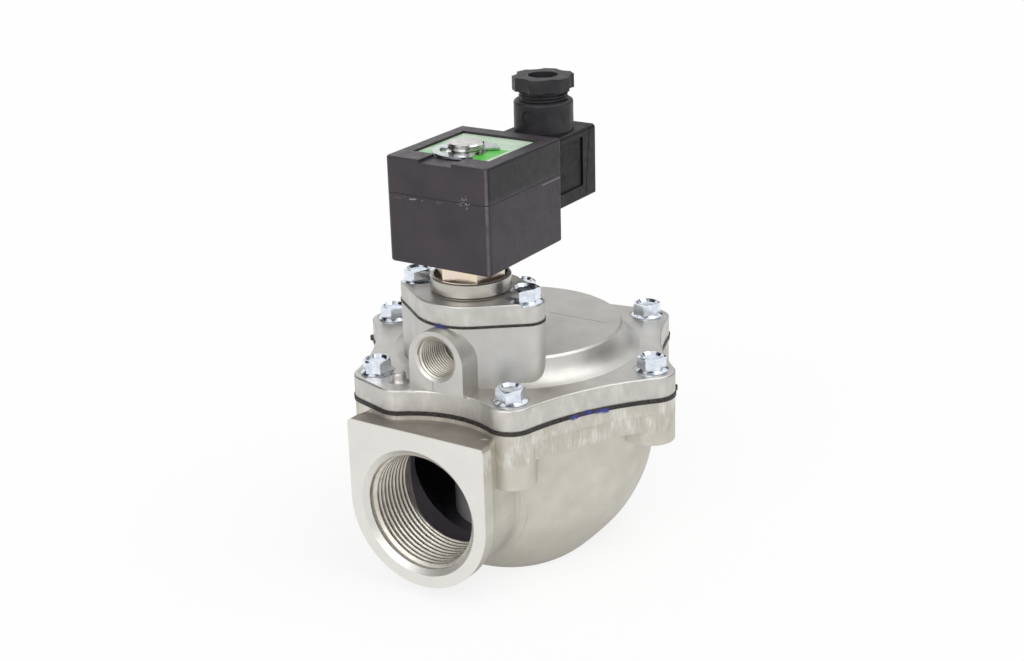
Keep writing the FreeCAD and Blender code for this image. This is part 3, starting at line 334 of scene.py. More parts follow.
def spot(tree, place, centre, radius, soft):
    """One within a radius of a point, and zero outside it."""
    reach = add(tree, "VectorMath", {0: place, 1: centre}, operation="DISTANCE")
    limits = {"Value": reach.outputs["Value"], "From Min": radius + soft, "From Max": radius - soft}
    return add(tree, "MapRange", limits).outputs[0]


def between(tree, place, direction, low, high, soft=sharp):
    """One between two levels along a direction, and zero outside them."""
    return both(tree, side(tree, place, direction, low, soft),
                side(tree, place, [-part for part in direction], -high, soft))


def tint(tree, share, first, second):
    """A colour that goes from the first to the second. Each is a hex code or a link."""
    ends = [colour(end) if isinstance(end, str) else end for end in (first, second)]
    return add(tree, "Mix", {0: share, 6: ends[0], 7: ends[1]}, data_type="RGBA").outputs[2]


def shift(tree, share, first, second):
    """A number that goes from the first to the second. Each is a value or a link."""
    return add(tree, "Mix", {0: share, 2: first, 3: second}, data_type="FLOAT").outputs[0]


def relief(tree, shader, height, depth):
    """Presses a height between zero and one into the surface, to a depth in metres."""
    bump = add(tree, "Bump", {"Height": height, "Strength": 1.0, "Distance": depth})
    tree.links.new(bump.outputs[0], shader.inputs["Normal"])


def paint(tree, shader, base, rough):
    tree.links.new(base, shader.inputs["Base Color"])
    tree.links.new(rough, shader.inputs["Roughness"])


def dress(material, *names):
    """Gives frame nodes this material."""
    for name in names:
        nodes[name].data.materials.clear()
        nodes[name].data.materials.append(material)
    print(material.name, "on", ", ".join(names))


# %% [markdown]
# The body and both covers are gravity die cast from an aluminium and silicon alloy, then tumbled.
# The skin is a warm grey satin with faint blotches about a centimetre wide and a fine grain. A
# cutter went over the inlet's face and the bores, which are paler, and the collar, which is
# smoother. The parting edges of the flanges were filed by hand, which leaves short upright strokes.
# An inspector dabs blue paint across the clamped joints, so that an opened valve can be told.
# Shade is painted into the colour on the underside, the neck, the inlet's shelf, the chamber, the
# collar's groove and the flange in front of the dome, and light on the outlet tube inside.

# %% Cast aluminium
casting_grain = 0.5 * mm
casting_blotch = 10 * mm
casting_metal = 0.85
casting_relief = 0.035 * mm
edge_fade = 0.8 * mm
edge_patch = 6 * mm
mask_margin = 0.2 * mm
face_layer = 0.1 * mm
body_skin = ("#c6c3b8", "#d8d5cb", 0.46, 0.56)
cover_skin = ("#c2c0bb", "#d5d3cf", 0.4, 0.47)
body_strokes = ("#aea79a", "#e9e7e0", 0.6 * mm, 0.14)
cover_strokes = ("#bcb9b1", "#dad8d2", 2 * mm, 0.4)
pilot_strokes = ("#bbb8b0", "#d8d6d0", 2.5 * mm, 0.6)
cut_zone = ("#dfddd7", "#eae8e3", 0.46)
# Painted shade, darker towards the bottom of the body.
underside_shade = ("#a19d94", "#aeaaa0", 0.52)
# Painted shade on the lower half of the inlet's neck.
neck_shade = ("#8e8b84", "#999690", 0.5)
shade_zone = ("#6f6b70", "#85818a", 0.5)
# Painted light on the outlet tube inside the chamber.
tube_painted_light = ("#cdc8ce", "#dcd8dd", 0.3, 0.35)
# Painted shadow on the inlet's shelf, under the flange's overhang.
shelf_shadow = ("#7a736e", "#b9b2aa", 0.6)
line_zone = ("#8d887e", "#9b968b", 0.55)
# Painted shadow in the groove under the collar's band.
groove_shadow = ("#4f4439", "#655849", 0.6)
shade_patch = ("#8c8780", "#a5a19a", 0.42)
collar_zone = ("#b6b1aa", "#c8c4bc", 0.27)
seal_blue = "#3a3f96"
seal_flatness = 1.9
seal_radius, seal_fade = 2 * mm, 0.6 * mm
seal_places = [(47.6, -34.9, 70.0), (50.2, -30.2, 70.8), (52.6, -25.6, 70.2), (53.6, -23.2, 69.8),
               (-0.6, -53.4, 104.6), (1.4, -53.4, 103.8)]


def seal_paint(tree, place, base):
    """Adds the blue dabs across the two clamped joints, wider than they are tall."""
    dabs = None
    flat = add(tree, "VectorMath", {0: place, 1: (1, 1, seal_flatness)}, operation="MULTIPLY")
    for x, y, z in seal_places:
        centre = (x * mm, y * mm, z * seal_flatness * mm)
        dab = spot(tree, flat.outputs[0], centre, seal_radius, seal_fade)
        dabs = dab if dabs is None else either(tree, dabs, dab)
    mask = mottle(tree, place, 2.4 * mm, low=0.35, spread=0.1)
    return tint(tree, both(tree, dabs, mask), base, seal_blue)


def facing_up(tree, low, high):
    """One where the surface looks up or down, and zero where it is upright. With the first limit
    above the second it is the other way round."""
    normal = add(tree, "NewGeometry").outputs["Normal"]
    steep = add(tree, "VectorMath", {0: normal, 1: (0, 0, 1)}, operation="DOT_PRODUCT").outputs["Value"]
    slope = add(tree, "Math", {0: steep}, operation="ABSOLUTE").outputs[0]
    return add(tree, "MapRange", {"Value": slope, "From Min": low, "From Max": high}).outputs[0]


def casting(name, skin, zones, edge, strokes):
    """Cast aluminium. Skin: its two colours, then its roughness from smooth to dull.
    Zones: a function that marks a place, with its two colours, its roughness and, where it differs,
    its metallic share. Edge: the heights between which upright faces were filed. Strokes: their two
    colours, width and stretch."""
    material, tree, shader, place = new_finish(name, metallic=casting_metal)
    blotch = mottle(tree, place, casting_blotch, spread=0.24)
    grain = mottle(tree, place, casting_grain, detail=2.0, spread=0.3)
    base = tint(tree, shift(tree, 0.3, blotch, grain), *skin[:2])
    rough = mottle(tree, place, casting_blotch * 0.6, *skin[2:])
    height = shift(tree, 0.25, grain, blotch)
    dark, light, width, stretch = strokes
    upright = facing_up(tree, 0.5, 0.2)
    filed = both(tree, between(tree, place, (0, 0, 1), *edge, edge_fade), upright)
    marks = mottle(tree, place, width, stretch=(1, 1, stretch), spread=0.2)
    patches = mottle(tree, place, edge_patch, stretch=(1, 1, 0.6), spread=0.12)
    share = both(tree, filed, shift(tree, 0.3, patches, 1.0))
    base = tint(tree, share, base, tint(tree, shift(tree, 0.5, marks, patches), dark, light))
    height = shift(tree, both(tree, share, 0.5), height, marks)
    for mark, (dark, light, level, *metal) in zones:
        share = mark(tree, place)
        base = tint(tree, share, base, tint(tree, shift(tree, 0.5, blotch, grain), dark, light))
        rough = shift(tree, share, rough, level)
        if metal:
            tree.links.new(shift(tree, share, casting_metal, metal[0]), shader.inputs["Metallic"])
    base = seal_paint(tree, place, base)
    paint(tree, shader, base, rough)
    relief(tree, shader, height, casting_relief)
    return material


inlet = ports["inlet_port"]
inlet_centre = Vector(inlet["pos_m"])
port_radius = inlet["dims"]["r_mm"] * mm
inlet_depth = inlet["dims"]["length_mm"] * mm
body_low, body_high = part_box("valve_body")
body_flange = 13 * mm
inlet_chamfer = 2 * mm
outlet_chamfer = 1 * mm
outlet_depth = 24 * mm


def body_cut(tree, place):
    """The inlet's face and mouth, and the outlet's bore."""
    mouth_radius = port_radius + inlet_chamfer + mask_margin
    outlet_radius = port_radius + outlet_chamfer + mask_margin
    face = side(tree, place, (0, -1, 0), -body_low.y - face_layer)
    mouth = both(tree, bore(tree, place, inlet_centre, (0, 1, 0), mouth_radius),
                 side(tree, place, (0, -1, 0), -body_low.y - inlet_chamfer - inlet_depth))
    outlet = both(tree, bore(tree, place, (0, 0, 0), (0, 0, 1), outlet_radius),
                  side(tree, place, (0, 0, -1), -outlet_depth))
    return either(tree, face, either(tree, mouth, outlet))


def body_inside(tree, place):
    """The chamber's walls lie inside a cone that opens upwards, and then inside a cylinder."""
    chamber_reach, chamber_floor = 49.5 * mm, 7.5 * mm
    cone_slope, cone_foot = 0.675, 31.1 * mm
    way_margin, way_end = 1.4 * mm, 20 * mm
    upright = bore(tree, place, (0, 0, 0), (0, 0, 1), chamber_reach)
    height = add(tree, "SeparateXYZ", {0: place}).outputs["Z"]
    cone_line = {0: height, 1: cone_slope, 2: cone_foot}
    limit = add(tree, "Math", cone_line, operation="MULTIPLY_ADD").outputs[0]
    flat = add(tree, "VectorMath", {0: place, 1: (1, 1, 0)}, operation="MULTIPLY")
    reach = add(tree, "VectorMath", {0: flat.outputs[0]}, operation="LENGTH").outputs["Value"]
    cone = add(tree, "Math", {0: reach, 1: limit}, operation="LESS_THAN").outputs[0]
    round_way = bore(tree, place, inlet_centre, (0, 1, 0), port_radius + way_margin)
    round_way = both(tree, round_way, side(tree, place, (0, -1, 0), way_end))
    behind = side(tree, place, (0, 1, 0), inlet_centre.y + inlet_depth / 2 - mask_margin)
    chamber = both(tree, both(tree, upright, cone), side(tree, place, (0, 0, 1), chamber_floor))
    return both(tree, behind, either(tree, chamber, both(tree, round_way, upright)))


def outlet_tube(tree, place):
    """The tube that stands in the chamber, from its foot to its seat. Its paler colour is painted light from
    the inlet.
    """
    tube_wall, tube_foot = 4 * mm, 8.2 * mm
    return both(tree, bore(tree, place, (0, 0, 0), (0, 0, 1), port_radius + tube_wall),
                side(tree, place, (0, 0, 1), tube_foot))


def underside(tree, place):
    """Painted shade: the skin is painted darker towards the bottom."""
    level, fade = 12 * mm, 16 * mm
    return side(tree, place, (0, 0, -1), -level, fade)


def neck_underside(tree, place):
    """Painted shade: the lower half of the inlet's neck is painted a darker grey than the bowl."""
    level, fade = 20 * mm, 14 * mm
    neck_start, neck_fade = 47 * mm, 3 * mm
    lower = side(tree, place, (0, 0, -1), -level, fade)
    return both(tree, lower, side(tree, place, (0, -1, 0), neck_start, neck_fade))


def inlet_shelf(tree, place):
    """The unmachined strip on top of the inlet, which only the die touched. Its dark colour is painted
    shadow under the flange's overhang.
    """
    shelf_low, shelf_high = 67.3 * mm, 68.3 * mm
    shelf_front, shelf_back = body_low.y + 0.5 * mm, -50 * mm
    top = both(tree, between(tree, place, (0, 0, 1), shelf_low, shelf_high), facing_up(tree, 0.5, 0.9))
    return both(tree, top, between(tree, place, (0, 1, 0), shelf_front, shelf_back))


body_zones = [(underside, underside_shade), (neck_underside, neck_shade), (inlet_shelf, shelf_shadow),
              (body_inside, shade_zone), (outlet_tube, tube_painted_light), (body_cut, cut_zone)]
dress(casting("tumbled_die_cast_body", body_skin, body_zones, (body_high.z - body_flange, body_high.z),
              body_strokes), "valve_body")

exhaust = ports["pilot_exhaust_port"]
exhaust_centre = Vector(exhaust["pos_m"])
exhaust_radius = exhaust["dims"]["r_mm"] * mm
exhaust_depth = exhaust["dims"]["length_mm"] * mm
exhaust_chamfer = 0.9 * mm
cover_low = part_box("main_cover")[0]
cover_flange = 8.5 * mm
dome_top = 89.6 * mm


def cover_cut(tree, place):
    """The exhaust port's chamfer and bore."""
    hole = bore(tree, place, exhaust_centre, (0, 1, 0), exhaust_radius + exhaust_chamfer)
    return both(tree, hole, side(tree, place, (0, -1, 0), -exhaust_centre.y - exhaust_depth / 2))


def die_lines(tree, place):
    """The die's parting line under the exhaust port, and a ruled line in the dome's top."""
    seam_x = (-0.35 * mm, -0.05 * mm)
    seam_z = (cover_low.z + cover_flange, exhaust_centre.z)
    rule_x, rule_y = (6.5 * mm, 33.6 * mm), (14.0 * mm, 14.4 * mm)
    front = side(tree, place, (0, -1, 0), -exhaust_centre.y + exhaust_depth / 2)
    seam = both(tree, between(tree, place, (1, 0, 0), *seam_x), front)
    seam = both(tree, seam, between(tree, place, (0, 0, 1), *seam_z))
    rule = both(tree, between(tree, place, (0, 1, 0), *rule_y),
                between(tree, place, (1, 0, 0), *rule_x))
    rule = both(tree, rule, side(tree, place, (0, 0, 1), dome_top - face_layer))
    return either(tree, seam, rule)


def flange_shade(tree, place):
    """In front of the dome the flange's top is painted darker, as painted shade by the dome's foot."""
    level = cover_low.z + cover_flange
    left = spot(tree, place, (20 * mm, -48 * mm, level), 10 * mm, 7 * mm)
    right = spot(tree, place, (37 * mm, -37 * mm, level), 9 * mm, 8 * mm)
    low = side(tree, place, (0, 0, -1), -level - 1 * mm, 0.5 * mm)
    flat = both(tree, facing_up(tree, 0.75, 0.98), low)
    strength = 0.85
    return both(tree, both(tree, either(tree, left, right), flat), strength)


cover_zones = [(flange_shade, shade_patch), (die_lines, line_zone), (cover_cut, cut_zone)]
dress(casting("tumbled_die_cast_cover", cover_skin, cover_zones,
              (cover_low.z, cover_low.z + cover_flange), cover_strokes), "main_cover")

pilot_low, pilot_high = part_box("pilot_cover")
pilot_centre = Vector((0, (pilot_low.y + pilot_high.y) / 2, 0))
pilot_edge = 6 * mm
collar_radius = 15.6 * mm
collar_band = 5.4 * mm
groove_height = 0.9 * mm
groove_inset = 0.4 * mm
band_foot = pilot_high.z - collar_band


def collar_cut(tree, place):
    """The turned band round the collar, and all above it."""
    ring = bore(tree, place, pilot_centre, (0, 0, 1), collar_radius + mask_margin)
    return both(tree, ring, side(tree, place, (0, 0, 1), band_foot - sharp))


def collar_gap(tree, place):
    """The groove under the collar's band is painted dark brown, as painted shadow under the band."""
    ring = bore(tree, place, pilot_centre, (0, 0, 1), collar_radius - groove_inset)
    groove = between(tree, place, (0, 0, 1), band_foot - groove_height, band_foot - sharp)
    return both(tree, ring, groove)


pilot_zones = [(collar_gap, groove_shadow), (collar_cut, collar_zone)]
dress(casting("tumbled_die_cast_pilot", cover_skin, pilot_zones,
              (pilot_low.z, pilot_low.z + pilot_edge), pilot_strokes), "pilot_cover")

# %% [markdown]
# Flange bolts are cold headed steel, plated with zinc and dipped in a clear blue passivate. The
# plating is nearly a mirror with a cold tint, a little uneven where the bath dried. The yellow
# passivate on the solenoid's nut shifts from straw to pink over a few millimetres.

# %% Zinc plated steel
def plated(name, first, second, patch, low, high):
    material, tree, shader, place = new_finish(name, metallic=1.0)
    base = tint(tree, mottle(tree, place, patch, spread=0.2), first, second)
    paint(tree, shader, base, mottle(tree, place, 1.5 * mm, low, high))
    relief(tree, shader, mottle(tree, place, 0.8 * mm), 0.012 * mm)
    return material


blue_zinc = plated("blue_passivated_zinc", "#f0f4fb", "#d0dae8", 2.5 * mm, 0.12, 0.24)
dress(blue_zinc, "cover_bolts", "pilot_bolts", "connector_screw", "upper_disc", "lower_disc",
      "disc_screw", "disc_nut", "pilot_rivet")
yellow_zinc = plated("yellow_passivated_zinc", "#efe6bd", "#f0dcd6", 9 * mm, 0.28, 0.4)
dress(yellow_zinc, "solenoid_base_nut")

# %% [markdown]
# The core tube and the core's head are turned stainless steel. Turning leaves fine rings, drawn
# here 1.6 mm apart and so shallow that they show as a soft sheen. The clip is blanked from bright
# spring strip. The inner core and the plunger are a magnetic stainless steel, turned the same way.
# Blender's wave texture multiplies the place by a factor of its own before it takes the wave.

# %% Turned and blanked steel
ring_gap = math.tau * 0.25 * mm
wave_texture_factor = 20


def turned_steel(name, base_code, dark_code, low, high):
    material, tree, shader, place = new_finish(name, metallic=1.0)
    fineness = math.tau / (ring_gap * wave_texture_factor)
    rings = add(tree, "TexWave", {"Vector": place, "Scale": fineness, "Distortion": 1.5},
                wave_type="BANDS", bands_direction="Z").outputs["Fac"]
    base = tint(tree, mottle(tree, place, 3 * mm), dark_code, base_code)
    paint(tree, shader, base, mottle(tree, place, 2 * mm, low, high))
    relief(tree, shader, rings, 0.006 * mm)
    return material


stainless = turned_steel("turned_stainless", "#dcdad6", "#c2c0bc", 0.16, 0.26)
dress(stainless, "fixed_core", "core_tube", "plunger")
dress(turned_steel("bright_spring_strip", "#d9dde0", "#b9bfc4", 0.18, 0.3), "retaining_clip")
spring_wire = turned_steel("drawn_spring_wire", "#b9bcc0", "#8f9399", 0.25, 0.4)
tinned_brass = turned_steel("tinned_brass", "#d8d3c4", "#c4b78e", 0.25, 0.4)
dress(tinned_brass, "terminal_pins")

# %% [markdown]
# Diaphragms and seals are black nitrile rubber, and the diaphragms have a fabric inside. Their
# cut edges are dull, a little ragged, and pick up grey dust. Rubber looks dark because it scatters
# little light, and its roughness varies from the mould's polish to the knife's cut.

# %% Black rubber
def rubber(name):
    material, tree, shader, place = new_finish(name, Specular_IOR_Level=0.45)
    dust = mottle(tree, place, 1.6 * mm, stretch=(1, 1, 2), spread=0.12)
    base = seal_paint(tree, place, tint(tree, dust, "#1a1716", "#3a3431"))
    paint(tree, shader, base, mottle(tree, place, 2.2 * mm, 0.32, 0.65))
    relief(tree, shader, mottle(tree, place, 0.9 * mm, stretch=(1, 1, 2)), 0.15 * mm)
    return material


nitrile = rubber("moulded_nitrile_rubber")
dress(nitrile, "base_o_ring", "plunger_seal", "pilot_disc", "connector_gasket", "gland_grommet")

# %% [markdown]
# The coil is wound, then cast over with a filled epoxy in two pours, which leaves a faint seam
# round it. The resin is a warm black with a dull satin skin. Handling scuffs it pale along the
# seam, mostly on the front. The seam's height and the scuffed stretch are measured on the object.

# %% Coil resin
coil_low, coil_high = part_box("coil")
seam_height = 153.7 * mm
seam_half = 0.2 * mm
scuff_x = (-18 * mm, 3 * mm)
scuff_z = (seam_height - 1.7 * mm, seam_height - 1.1 * mm)
flash_z = (seam_height - 1.6 * mm, seam_height - 1.2 * mm)
flash_length = 14 * mm
dent_place = (12.5 * mm, -52.4 * mm, 154 * mm)
dent_radius, dent_fade = 2.2 * mm, 1.2 * mm
coil_layer = 0.6 * mm
corner_round = 2.5 * mm
corner_strip = 0.07 * mm


def coil_corners(tree, place):
    """Painted highlight: the outermost strip of the two rounded corners in front."""
    mask = None
    for turn in (-1, 1):
        out = Vector((turn, -1, 0)).normalized()
        centre = Vector((coil_high.x * turn - corner_round * turn, coil_low.y + corner_round, 0))
        strip = side(tree, place, out, centre.dot(out) + corner_round - corner_strip)
        mask = strip if mask is None else either(tree, mask, strip)
    return mask


def coil_resin():
    material, tree, shader, place = new_finish("overmoulded_epoxy", Specular_IOR_Level=0.34)
    base = tint(tree, mottle(tree, place, 12 * mm), "#343035", "#3d373d")
    seam = between(tree, place, (0, 0, 1), seam_height - seam_half, seam_height + seam_half, 0.12 * mm)
    front = side(tree, place, (0, -1, 0), -coil_low.y - coil_layer)
    scuffed = both(tree, front, between(tree, place, (1, 0, 0), *scuff_x, 1 * mm))
    scuffed = both(tree, scuffed, between(tree, place, (0, 0, 1), *scuff_z, 0.3 * mm))
    chips = mottle(tree, place, 1.6 * mm, stretch=(0.5, 1, 1.4), detail=4.0, low=-1.2, high=1.2)
    dents = both(tree, spot(tree, place, dent_place, dent_radius, dent_fade),
                 mottle(tree, place, 0.9 * mm, low=-2.5, high=1.0))
    flash = both(tree, side(tree, place, (1, 0, 0), coil_high.x - coil_layer),
                 side(tree, place, (0, 1, 0), coil_high.y - flash_length, 1 * mm))
    flash = both(tree, flash, between(tree, place, (0, 0, 1), *flash_z, 0.1 * mm))
    mask = either(tree, either(tree, both(tree, scuffed, chips), dents), both(tree, flash, 0.6))
    mask = add(tree, "Clamp", {"Value": mask}).outputs[0]
    # Painted shade on the upper part of the right side.
    painted_shade_upper = both(tree, side(tree, place, (1, 0, 0), coil_high.x - coil_layer, 0.3 * mm),
                 side(tree, place, (0, 0, 1), seam_height + 1 * mm, 1.2 * mm))
    base = tint(tree, painted_shade_upper, base, "#252226")
    # Painted highlight along the two rounded front corners.
    corner_highlight = both(tree, coil_corners(tree, place), mottle(tree, place, 5 * mm, 0.35, 0.8))
    base = tint(tree, corner_highlight, base, "#6c676b")
    base = tint(tree, seam, base, "#1f1b1e")
    base = tint(tree, mask, base, "#a09a9c")
    paint(tree, shader, base, shift(tree, mask, mottle(tree, place, 3 * mm, 0.34, 0.46), 0.7))
    grain = mottle(tree, place, 0.7 * mm, detail=2.0)
    relief(tree, shader, shift(tree, seam, grain, -2.0), 0.03 * mm)
    return material


dress(coil_resin(), "coil")

# %% [markdown]
# The plug, its cover and the gland are injection moulded in glass filled nylon. The mould was
# spark eroded, which leaves an even fine grain. The boss and the gland nut stand above the plug's
# roof, and are painted paler as painted light.

# %% Black nylon
plug_low, plug_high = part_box("connector_housing")
plug_roof = 163 * mm
recess_x = (plug_high.x - 0.8 * mm, plug_high.x - 0.3 * mm)
recess_y = (plug_low.y + 4 * mm, plug_low.y + 30.8 * mm)
recess_z = (plug_low.z + 5 * mm, plug_low.z + 25.7 * mm)


def shaded_badge_recess(tree, place):
    """The empty panel in the housing's right face, whose floor is painted darker as shade in the recess."""
    floor = between(tree, place, (1, 0, 0), *recess_x)
    across = between(tree, place, (0, 1, 0), *recess_y)
    return both(tree, both(tree, floor, across), between(tree, place, (0, 0, 1), *recess_z))


def nylon(name, dark, light):
    material, tree, shader, place = new_finish(name, Specular_IOR_Level=0.24)
    cloud = mottle(tree, place, 6 * mm)
    # Painted light: everything above the plug's roof is paler.
    painted_light_above_roof = side(tree, place, (0, 0, 1), plug_roof + 0.4 * mm, 0.3 * mm)
    paler = tint(tree, cloud, "#2c2a2d", "#39373a")
    base = tint(tree, painted_light_above_roof, tint(tree, cloud, dark, light), paler)
    # Painted shade on the recess floor.
    base = tint(tree, shaded_badge_recess(tree, place), base, "#0c0b0c")
    paint(tree, shader, base, mottle(tree, place, 2.5 * mm, 0.36, 0.5))
    relief(tree, shader, mottle(tree, place, 0.5 * mm, detail=1.0), 0.02 * mm)
    return material


black_nylon = nylon("spark_grained_nylon", "#1b1a1c", "#242225")
dress(black_nylon, "connector_housing", "connector_cover", "gland_nut", "gland_washer")
dress(nylon("terminal_carrier_nylon", "#262627", "#333335"), "terminal_block")

# %% [markdown]
# The rating label under the clip is printed film. Its wording is left off: what stays is the pale
# green ground, a stronger green patch beside the core and one thin ruled line, as on a blank form.

# %% Label film
label_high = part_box("nameplate")[1]
mint_places = [(-13 * mm, -38 * mm, label_high.z), (-14.5 * mm, -27.6 * mm, label_high.z)]
mint_radius, mint_fade = 3 * mm, 2.5 * mm
patch_x = (2.6 * mm, 13.7 * mm)
patch_y = (-39.6 * mm, -23 * mm)
patch_fade = 0.6 * mm
line_y = (label_high.y - 8.2 * mm, label_high.y - 7.9 * mm)


def label_film():
    material, tree, shader, place = new_finish("printed_label_film", Specular_IOR_Level=0.5)
    ground = tint(tree, mottle(tree, place, 8 * mm), "#b9d4b8", "#cfe0cc")
    mint = either(tree, *[spot(tree, place, centre, mint_radius, mint_fade) for centre in mint_places])
    ground = tint(tree, mint, ground, "#8fd19a")
    patch = both(tree, between(tree, place, (1, 0, 0), *patch_x, patch_fade),
                 between(tree, place, (0, 1, 0), *patch_y, patch_fade))
    ground = tint(tree, patch, ground, "#4fbf3a")
    ground = tint(tree, between(tree, place, (0, 1, 0), *line_y), ground, "#86a486")
    paint(tree, shader, ground, mottle(tree, place, 4 * mm, 0.26, 0.38))
    relief(tree, shader, mottle(tree, place, 1.5 * mm), 0.01 * mm)
    return material


dress(label_film(), "nameplate")

# %% [markdown]
# Springs and diaphragms change shape when the valve works, and a rigid solid can't. Each one is
# stood in for by a copy of its own mesh, with its loose triangles joined. A copied spring rides on
# the housing and keeps its shape.

# %% Spring copies on the housing
weld_distance = 0.001 * mm
soft_crease = math.radians(35)


def deselect():
    if bpy.context.object and bpy.context.object.mode != "OBJECT":
        bpy.ops.object.mode_set(mode="OBJECT")
    bpy.ops.object.select_all(action="DESELECT")


def choose(piece):
    deselect()
    piece.select_set(True)
    bpy.context.view_layer.objects.active = piece


def living_copy(node, name, material):
    """A joined copy of a node's mesh, to take its place where it has to flex."""
    piece = bpy.data.objects.new(name, nodes[node].data.copy())
    bpy.context.scene.collection.objects.link(piece)
    choose(piece)
    bpy.ops.mesh.customdata_custom_splitnormals_clear()
    bpy.ops.object.mode_set(mode="EDIT")
    bpy.ops.mesh.select_all(action="SELECT")
    bpy.ops.mesh.remove_doubles(threshold=weld_distance)
    bpy.ops.object.mode_set(mode="OBJECT")
    bpy.ops.object.shade_smooth_by_angle(angle=soft_crease)
    piece.data.materials.clear()
    piece.data.materials.append(material)
    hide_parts(node)
    return piece


def live_spring(node, name):
    """A spring copy that rides on the housing."""
    piece = living_copy(node, name, spring_wire)
    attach(piece, "housing")
    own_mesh(piece)


live_spring("main_spring", "main_spring_coil")
live_spring("pilot_spring", "pilot_spring_coil")
live_spring("plunger_spring", "plunger_spring_coil")

# %% [markdown]
# A diaphragm is clamped all round its rim and lifted in the middle, so its fold rolls. A blend
# between two bodies runs along a straight line, and this one has to run outwards from the middle.
# So after the blend is declared, each point gets its share by its distance from the centre.

# %% Diaphragms that roll
main_hub, main_rim = 29 * mm, 45.5 * mm
pilot_hub, pilot_rim = 9.2 * mm, 15.5 * mm


def live_diaphragm(node, name, body, centre, hub_radius, rim_radius):
    """A diaphragm that follows a moving body inside the hub radius and the housing at its rim."""
    piece = living_copy(node, name, nitrile)
    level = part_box(node)[0].z
    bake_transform(piece, body, "housing", start=(centre.x + hub_radius, centre.y, level),
             end=(centre.x + rim_radius, centre.y, level))
    shares = piece.data.attributes["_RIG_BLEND"].data
    for vertex, share in zip(piece.data.vertices, shares):
        reach = math.hypot(vertex.co.x - centre.x, vertex.co.y - centre.y)
        step = min(1.0, max(0.0, (reach - hub_radius) / (rim_radius - hub_radius)))
        share.value = step * step * (3 - 2 * step)
    print(name, "rolls between", round(hub_radius / mm, 1), "and", round(rim_radius / mm, 1), "mm")


live_diaphragm("main_diaphragm", "main_diaphragm_rubber", "main_valve", Vector((0, 0, 0)),
               main_hub, main_rim)
live_diaphragm("pilot_diaphragm", "pilot_diaphragm_rubber", "pilot_valve", pilot_centre,
               pilot_hub, pilot_rim)

# %% [markdown]
# A pipe thread is one tooth wound round a bore many times. It could be a stack of rings, but the
# eye follows the helix where the thread runs out. So one flat tooth is drawn in the upright plane,
# its tip is narrowed and rounded, and a Screw modifier winds it up. At both ends the tooth sinks
# into the wall over a quarter turn, as the cutter leaves it.

# %% Helpers that wind and seat threads
steps_per_turn = 96
root_share = 0.92
tip_share = 0.34
round_share = 0.09
thread_crease = math.radians(50)


def pick(test):
    """In edit mode, selects the vertices whose place passes a test, and no others."""
    mesh = bmesh.from_edit_mesh(bpy.context.object.data)
    for vertex in mesh.verts:
        vertex.select_set(bool(test(vertex.co)))
    mesh.select_flush(False)
    bmesh.update_edit_mesh(bpy.context.object.data)


def wind_thread(name, wall, tip, pitch, length, material):
    """A thread tooth from a wall radius to a tip radius, wound up the Z axis from zero."""
    depth = tip - wall
    turns = length / pitch
    deselect()
    middle = (wall + depth / 2, 0, 0)
    bpy.ops.mesh.primitive_plane_add(size=1, location=middle, rotation=(math.pi / 2, 0, 0))
    tooth = bpy.context.object
    tooth.name = name
    tooth.scale = (abs(depth), pitch * root_share, 1)
    bpy.ops.object.transform_apply(location=True, rotation=True, scale=True)
    bpy.ops.object.mode_set(mode="EDIT")
    pick(lambda place: abs(place.x - tip) < abs(depth) * 0.1)
    bpy.ops.transform.resize(value=(1, 1, tip_share))
    bpy.ops.mesh.bevel(offset=pitch * round_share, segments=2, affect="VERTICES")
    bpy.ops.mesh.select_all(action="SELECT")
    bpy.ops.mesh.delete(type="ONLY_FACE")
    bpy.ops.object.mode_set(mode="OBJECT")
    outline = [vertex.co.copy() for vertex in tooth.data.vertices]
    screw = tooth.modifiers.new("winding", "SCREW")
    screw.axis = "Z"
    screw.angle = math.tau * turns
    screw.screw_offset = pitch * turns
    screw.iterations = 1
    screw.steps = screw.render_steps = round(steps_per_turn * turns)
    bpy.ops.object.modifier_apply(modifier="winding")
    fade = steps_per_turn // 4
    last = len(tooth.data.vertices) // len(outline) - 1
    for vertex in tooth.data.vertices:
        step = vertex.index // len(outline)
        share = min(1.0, step / fade, (last - step) / fade)
        reach = math.hypot(vertex.co.x, vertex.co.y)
        sunk = (wall + (reach - wall) * share) / reach
        vertex.co.x *= sunk
        vertex.co.y *= sunk
    bpy.ops.object.mode_set(mode="EDIT")
    bpy.ops.mesh.select_all(action="SELECT")
    bpy.ops.mesh.normals_make_consistent(inside=False)
    bpy.ops.object.mode_set(mode="OBJECT")
    bpy.ops.object.shade_smooth_by_angle(angle=thread_crease)
    tooth.data.materials.append(material)
    print(name, "has", round(turns, 1), "turns and", len(tooth.data.polygons), "faces")
    return tooth


def seat(piece, place, direction, body):
    """Turns a piece from +Z to a direction, moves it to its place, and lets it ride on a body."""
    choose(piece)
    piece.rotation_euler = Vector(direction).to_track_quat("Z", "Y").to_euler()
    piece.location = place
    bpy.ops.object.transform_apply(location=True, rotation=True, scale=True)
    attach(piece, body)


# %% [markdown]
# Inlet and outlet have 11 threads to the inch, 1.48 mm deep, and the pilot's exhaust has 19 to the
# inch, 0.86 mm deep. They were cut with a tap after casting, so they are smoother and brighter than
# the cast skin. The two large ones start a little way behind the chamfer at their mouth, and the
# small one right behind it.

# %% Pipe threads
def cut_thread():
    material, tree, shader, place = new_finish("tapped_aluminium", metallic=0.92)
    base = tint(tree, mottle(tree, place, 3 * mm), "#c9c4b9", "#dad6cd")
    paint(tree, shader, base, mottle(tree, place, 1.2 * mm, 0.36, 0.46))
    relief(tree, shader, mottle(tree, place, 0.4 * mm), 0.01 * mm)
    return material


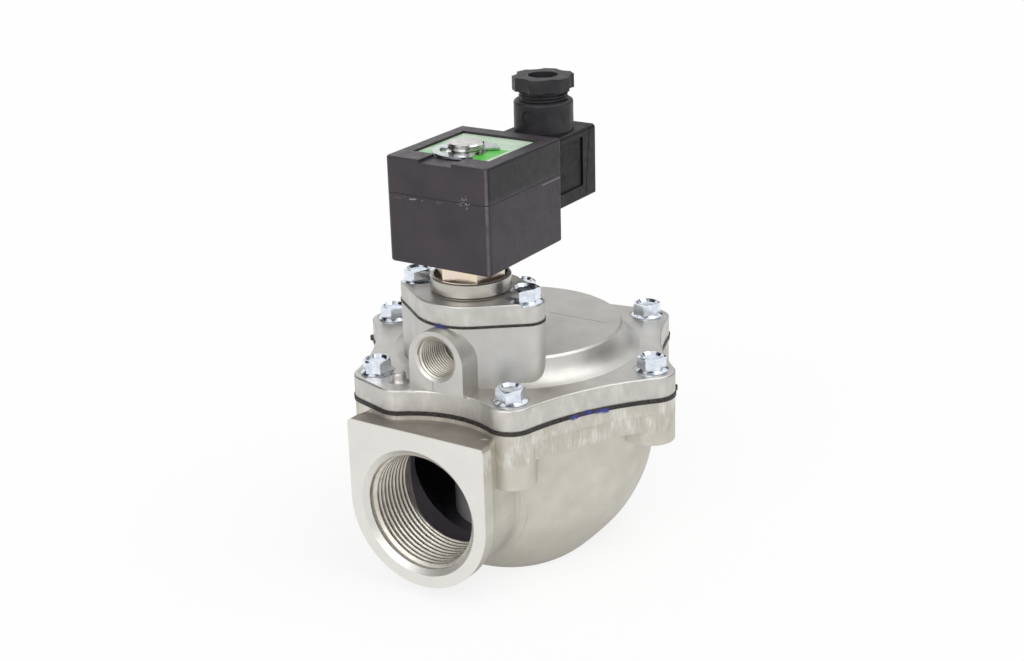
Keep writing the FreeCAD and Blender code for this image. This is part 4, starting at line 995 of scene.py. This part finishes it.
inch = 25.4 * mm
tapped = cut_thread()
wall_bite = 0.03 * mm
port_pitch = inch / 11
port_wall = port_radius + wall_bite
port_tip = port_radius - 1.479 * mm
exhaust_pitch = inch / 19
exhaust_wall = exhaust_radius + wall_bite
exhaust_tip = exhaust_radius - 0.856 * mm

inlet_gap = port_pitch * 0.4
inlet_thread = wind_thread("inlet_thread", port_wall, port_tip, port_pitch, inlet_depth - inlet_gap,
                           tapped)
inlet_start = (inlet_centre.x, body_low.y + inlet_chamfer + inlet_gap, inlet_centre.z)
seat(inlet_thread, inlet_start, (0, 1, 0), "housing")

outlet_gap = port_pitch * 0.1
outlet_length = 22 * mm
outlet_thread = wind_thread("outlet_thread", port_wall, port_tip, port_pitch, outlet_length, tapped)
outlet_start = (0, 0, body_low.z + outlet_chamfer + outlet_gap)
seat(outlet_thread, outlet_start, (0, 0, 1), "housing")

exhaust_thread = wind_thread("exhaust_thread", exhaust_wall, exhaust_tip, exhaust_pitch, exhaust_depth,
                             tapped)
exhaust_start = (exhaust_centre.x, exhaust_centre.y - exhaust_depth / 2, exhaust_centre.z)
seat(exhaust_thread, exhaust_start, (0, 1, 0), "housing")

# %% [markdown]
# The gland nut's neck has a coarse moulded thread, and nearly three turns of it show above the
# boss. It is the same tooth turned outwards, in the nut's nylon.

# %% Gland thread
gland_centre = Vector(ports["cable_gland"]["pos_m"])
gland_wall, gland_tip = 8.95 * mm, 9.8 * mm
gland_pitch = 1.41 * mm
boss_top = 175.4 * mm
nut_under = 179.5 * mm
gland_thread = wind_thread("gland_thread", gland_wall, gland_tip, gland_pitch, nut_under - boss_top,
                           black_nylon)
seat(gland_thread, (gland_centre.x, gland_centre.y, boss_top), (0, 0, 1), "coil_unit")

# %% [markdown]
# Frame nodes come with faceted normals. Smooth shading with an angle limit keeps their edges and
# rounds their curved faces, and it leaves every vertex where it is.

# %% Smooth the frame nodes and finish
frame_crease = math.radians(30)
for node in nodes.values():
    choose(node)
    bpy.ops.object.shade_smooth_by_angle(angle=frame_crease)
deselect()
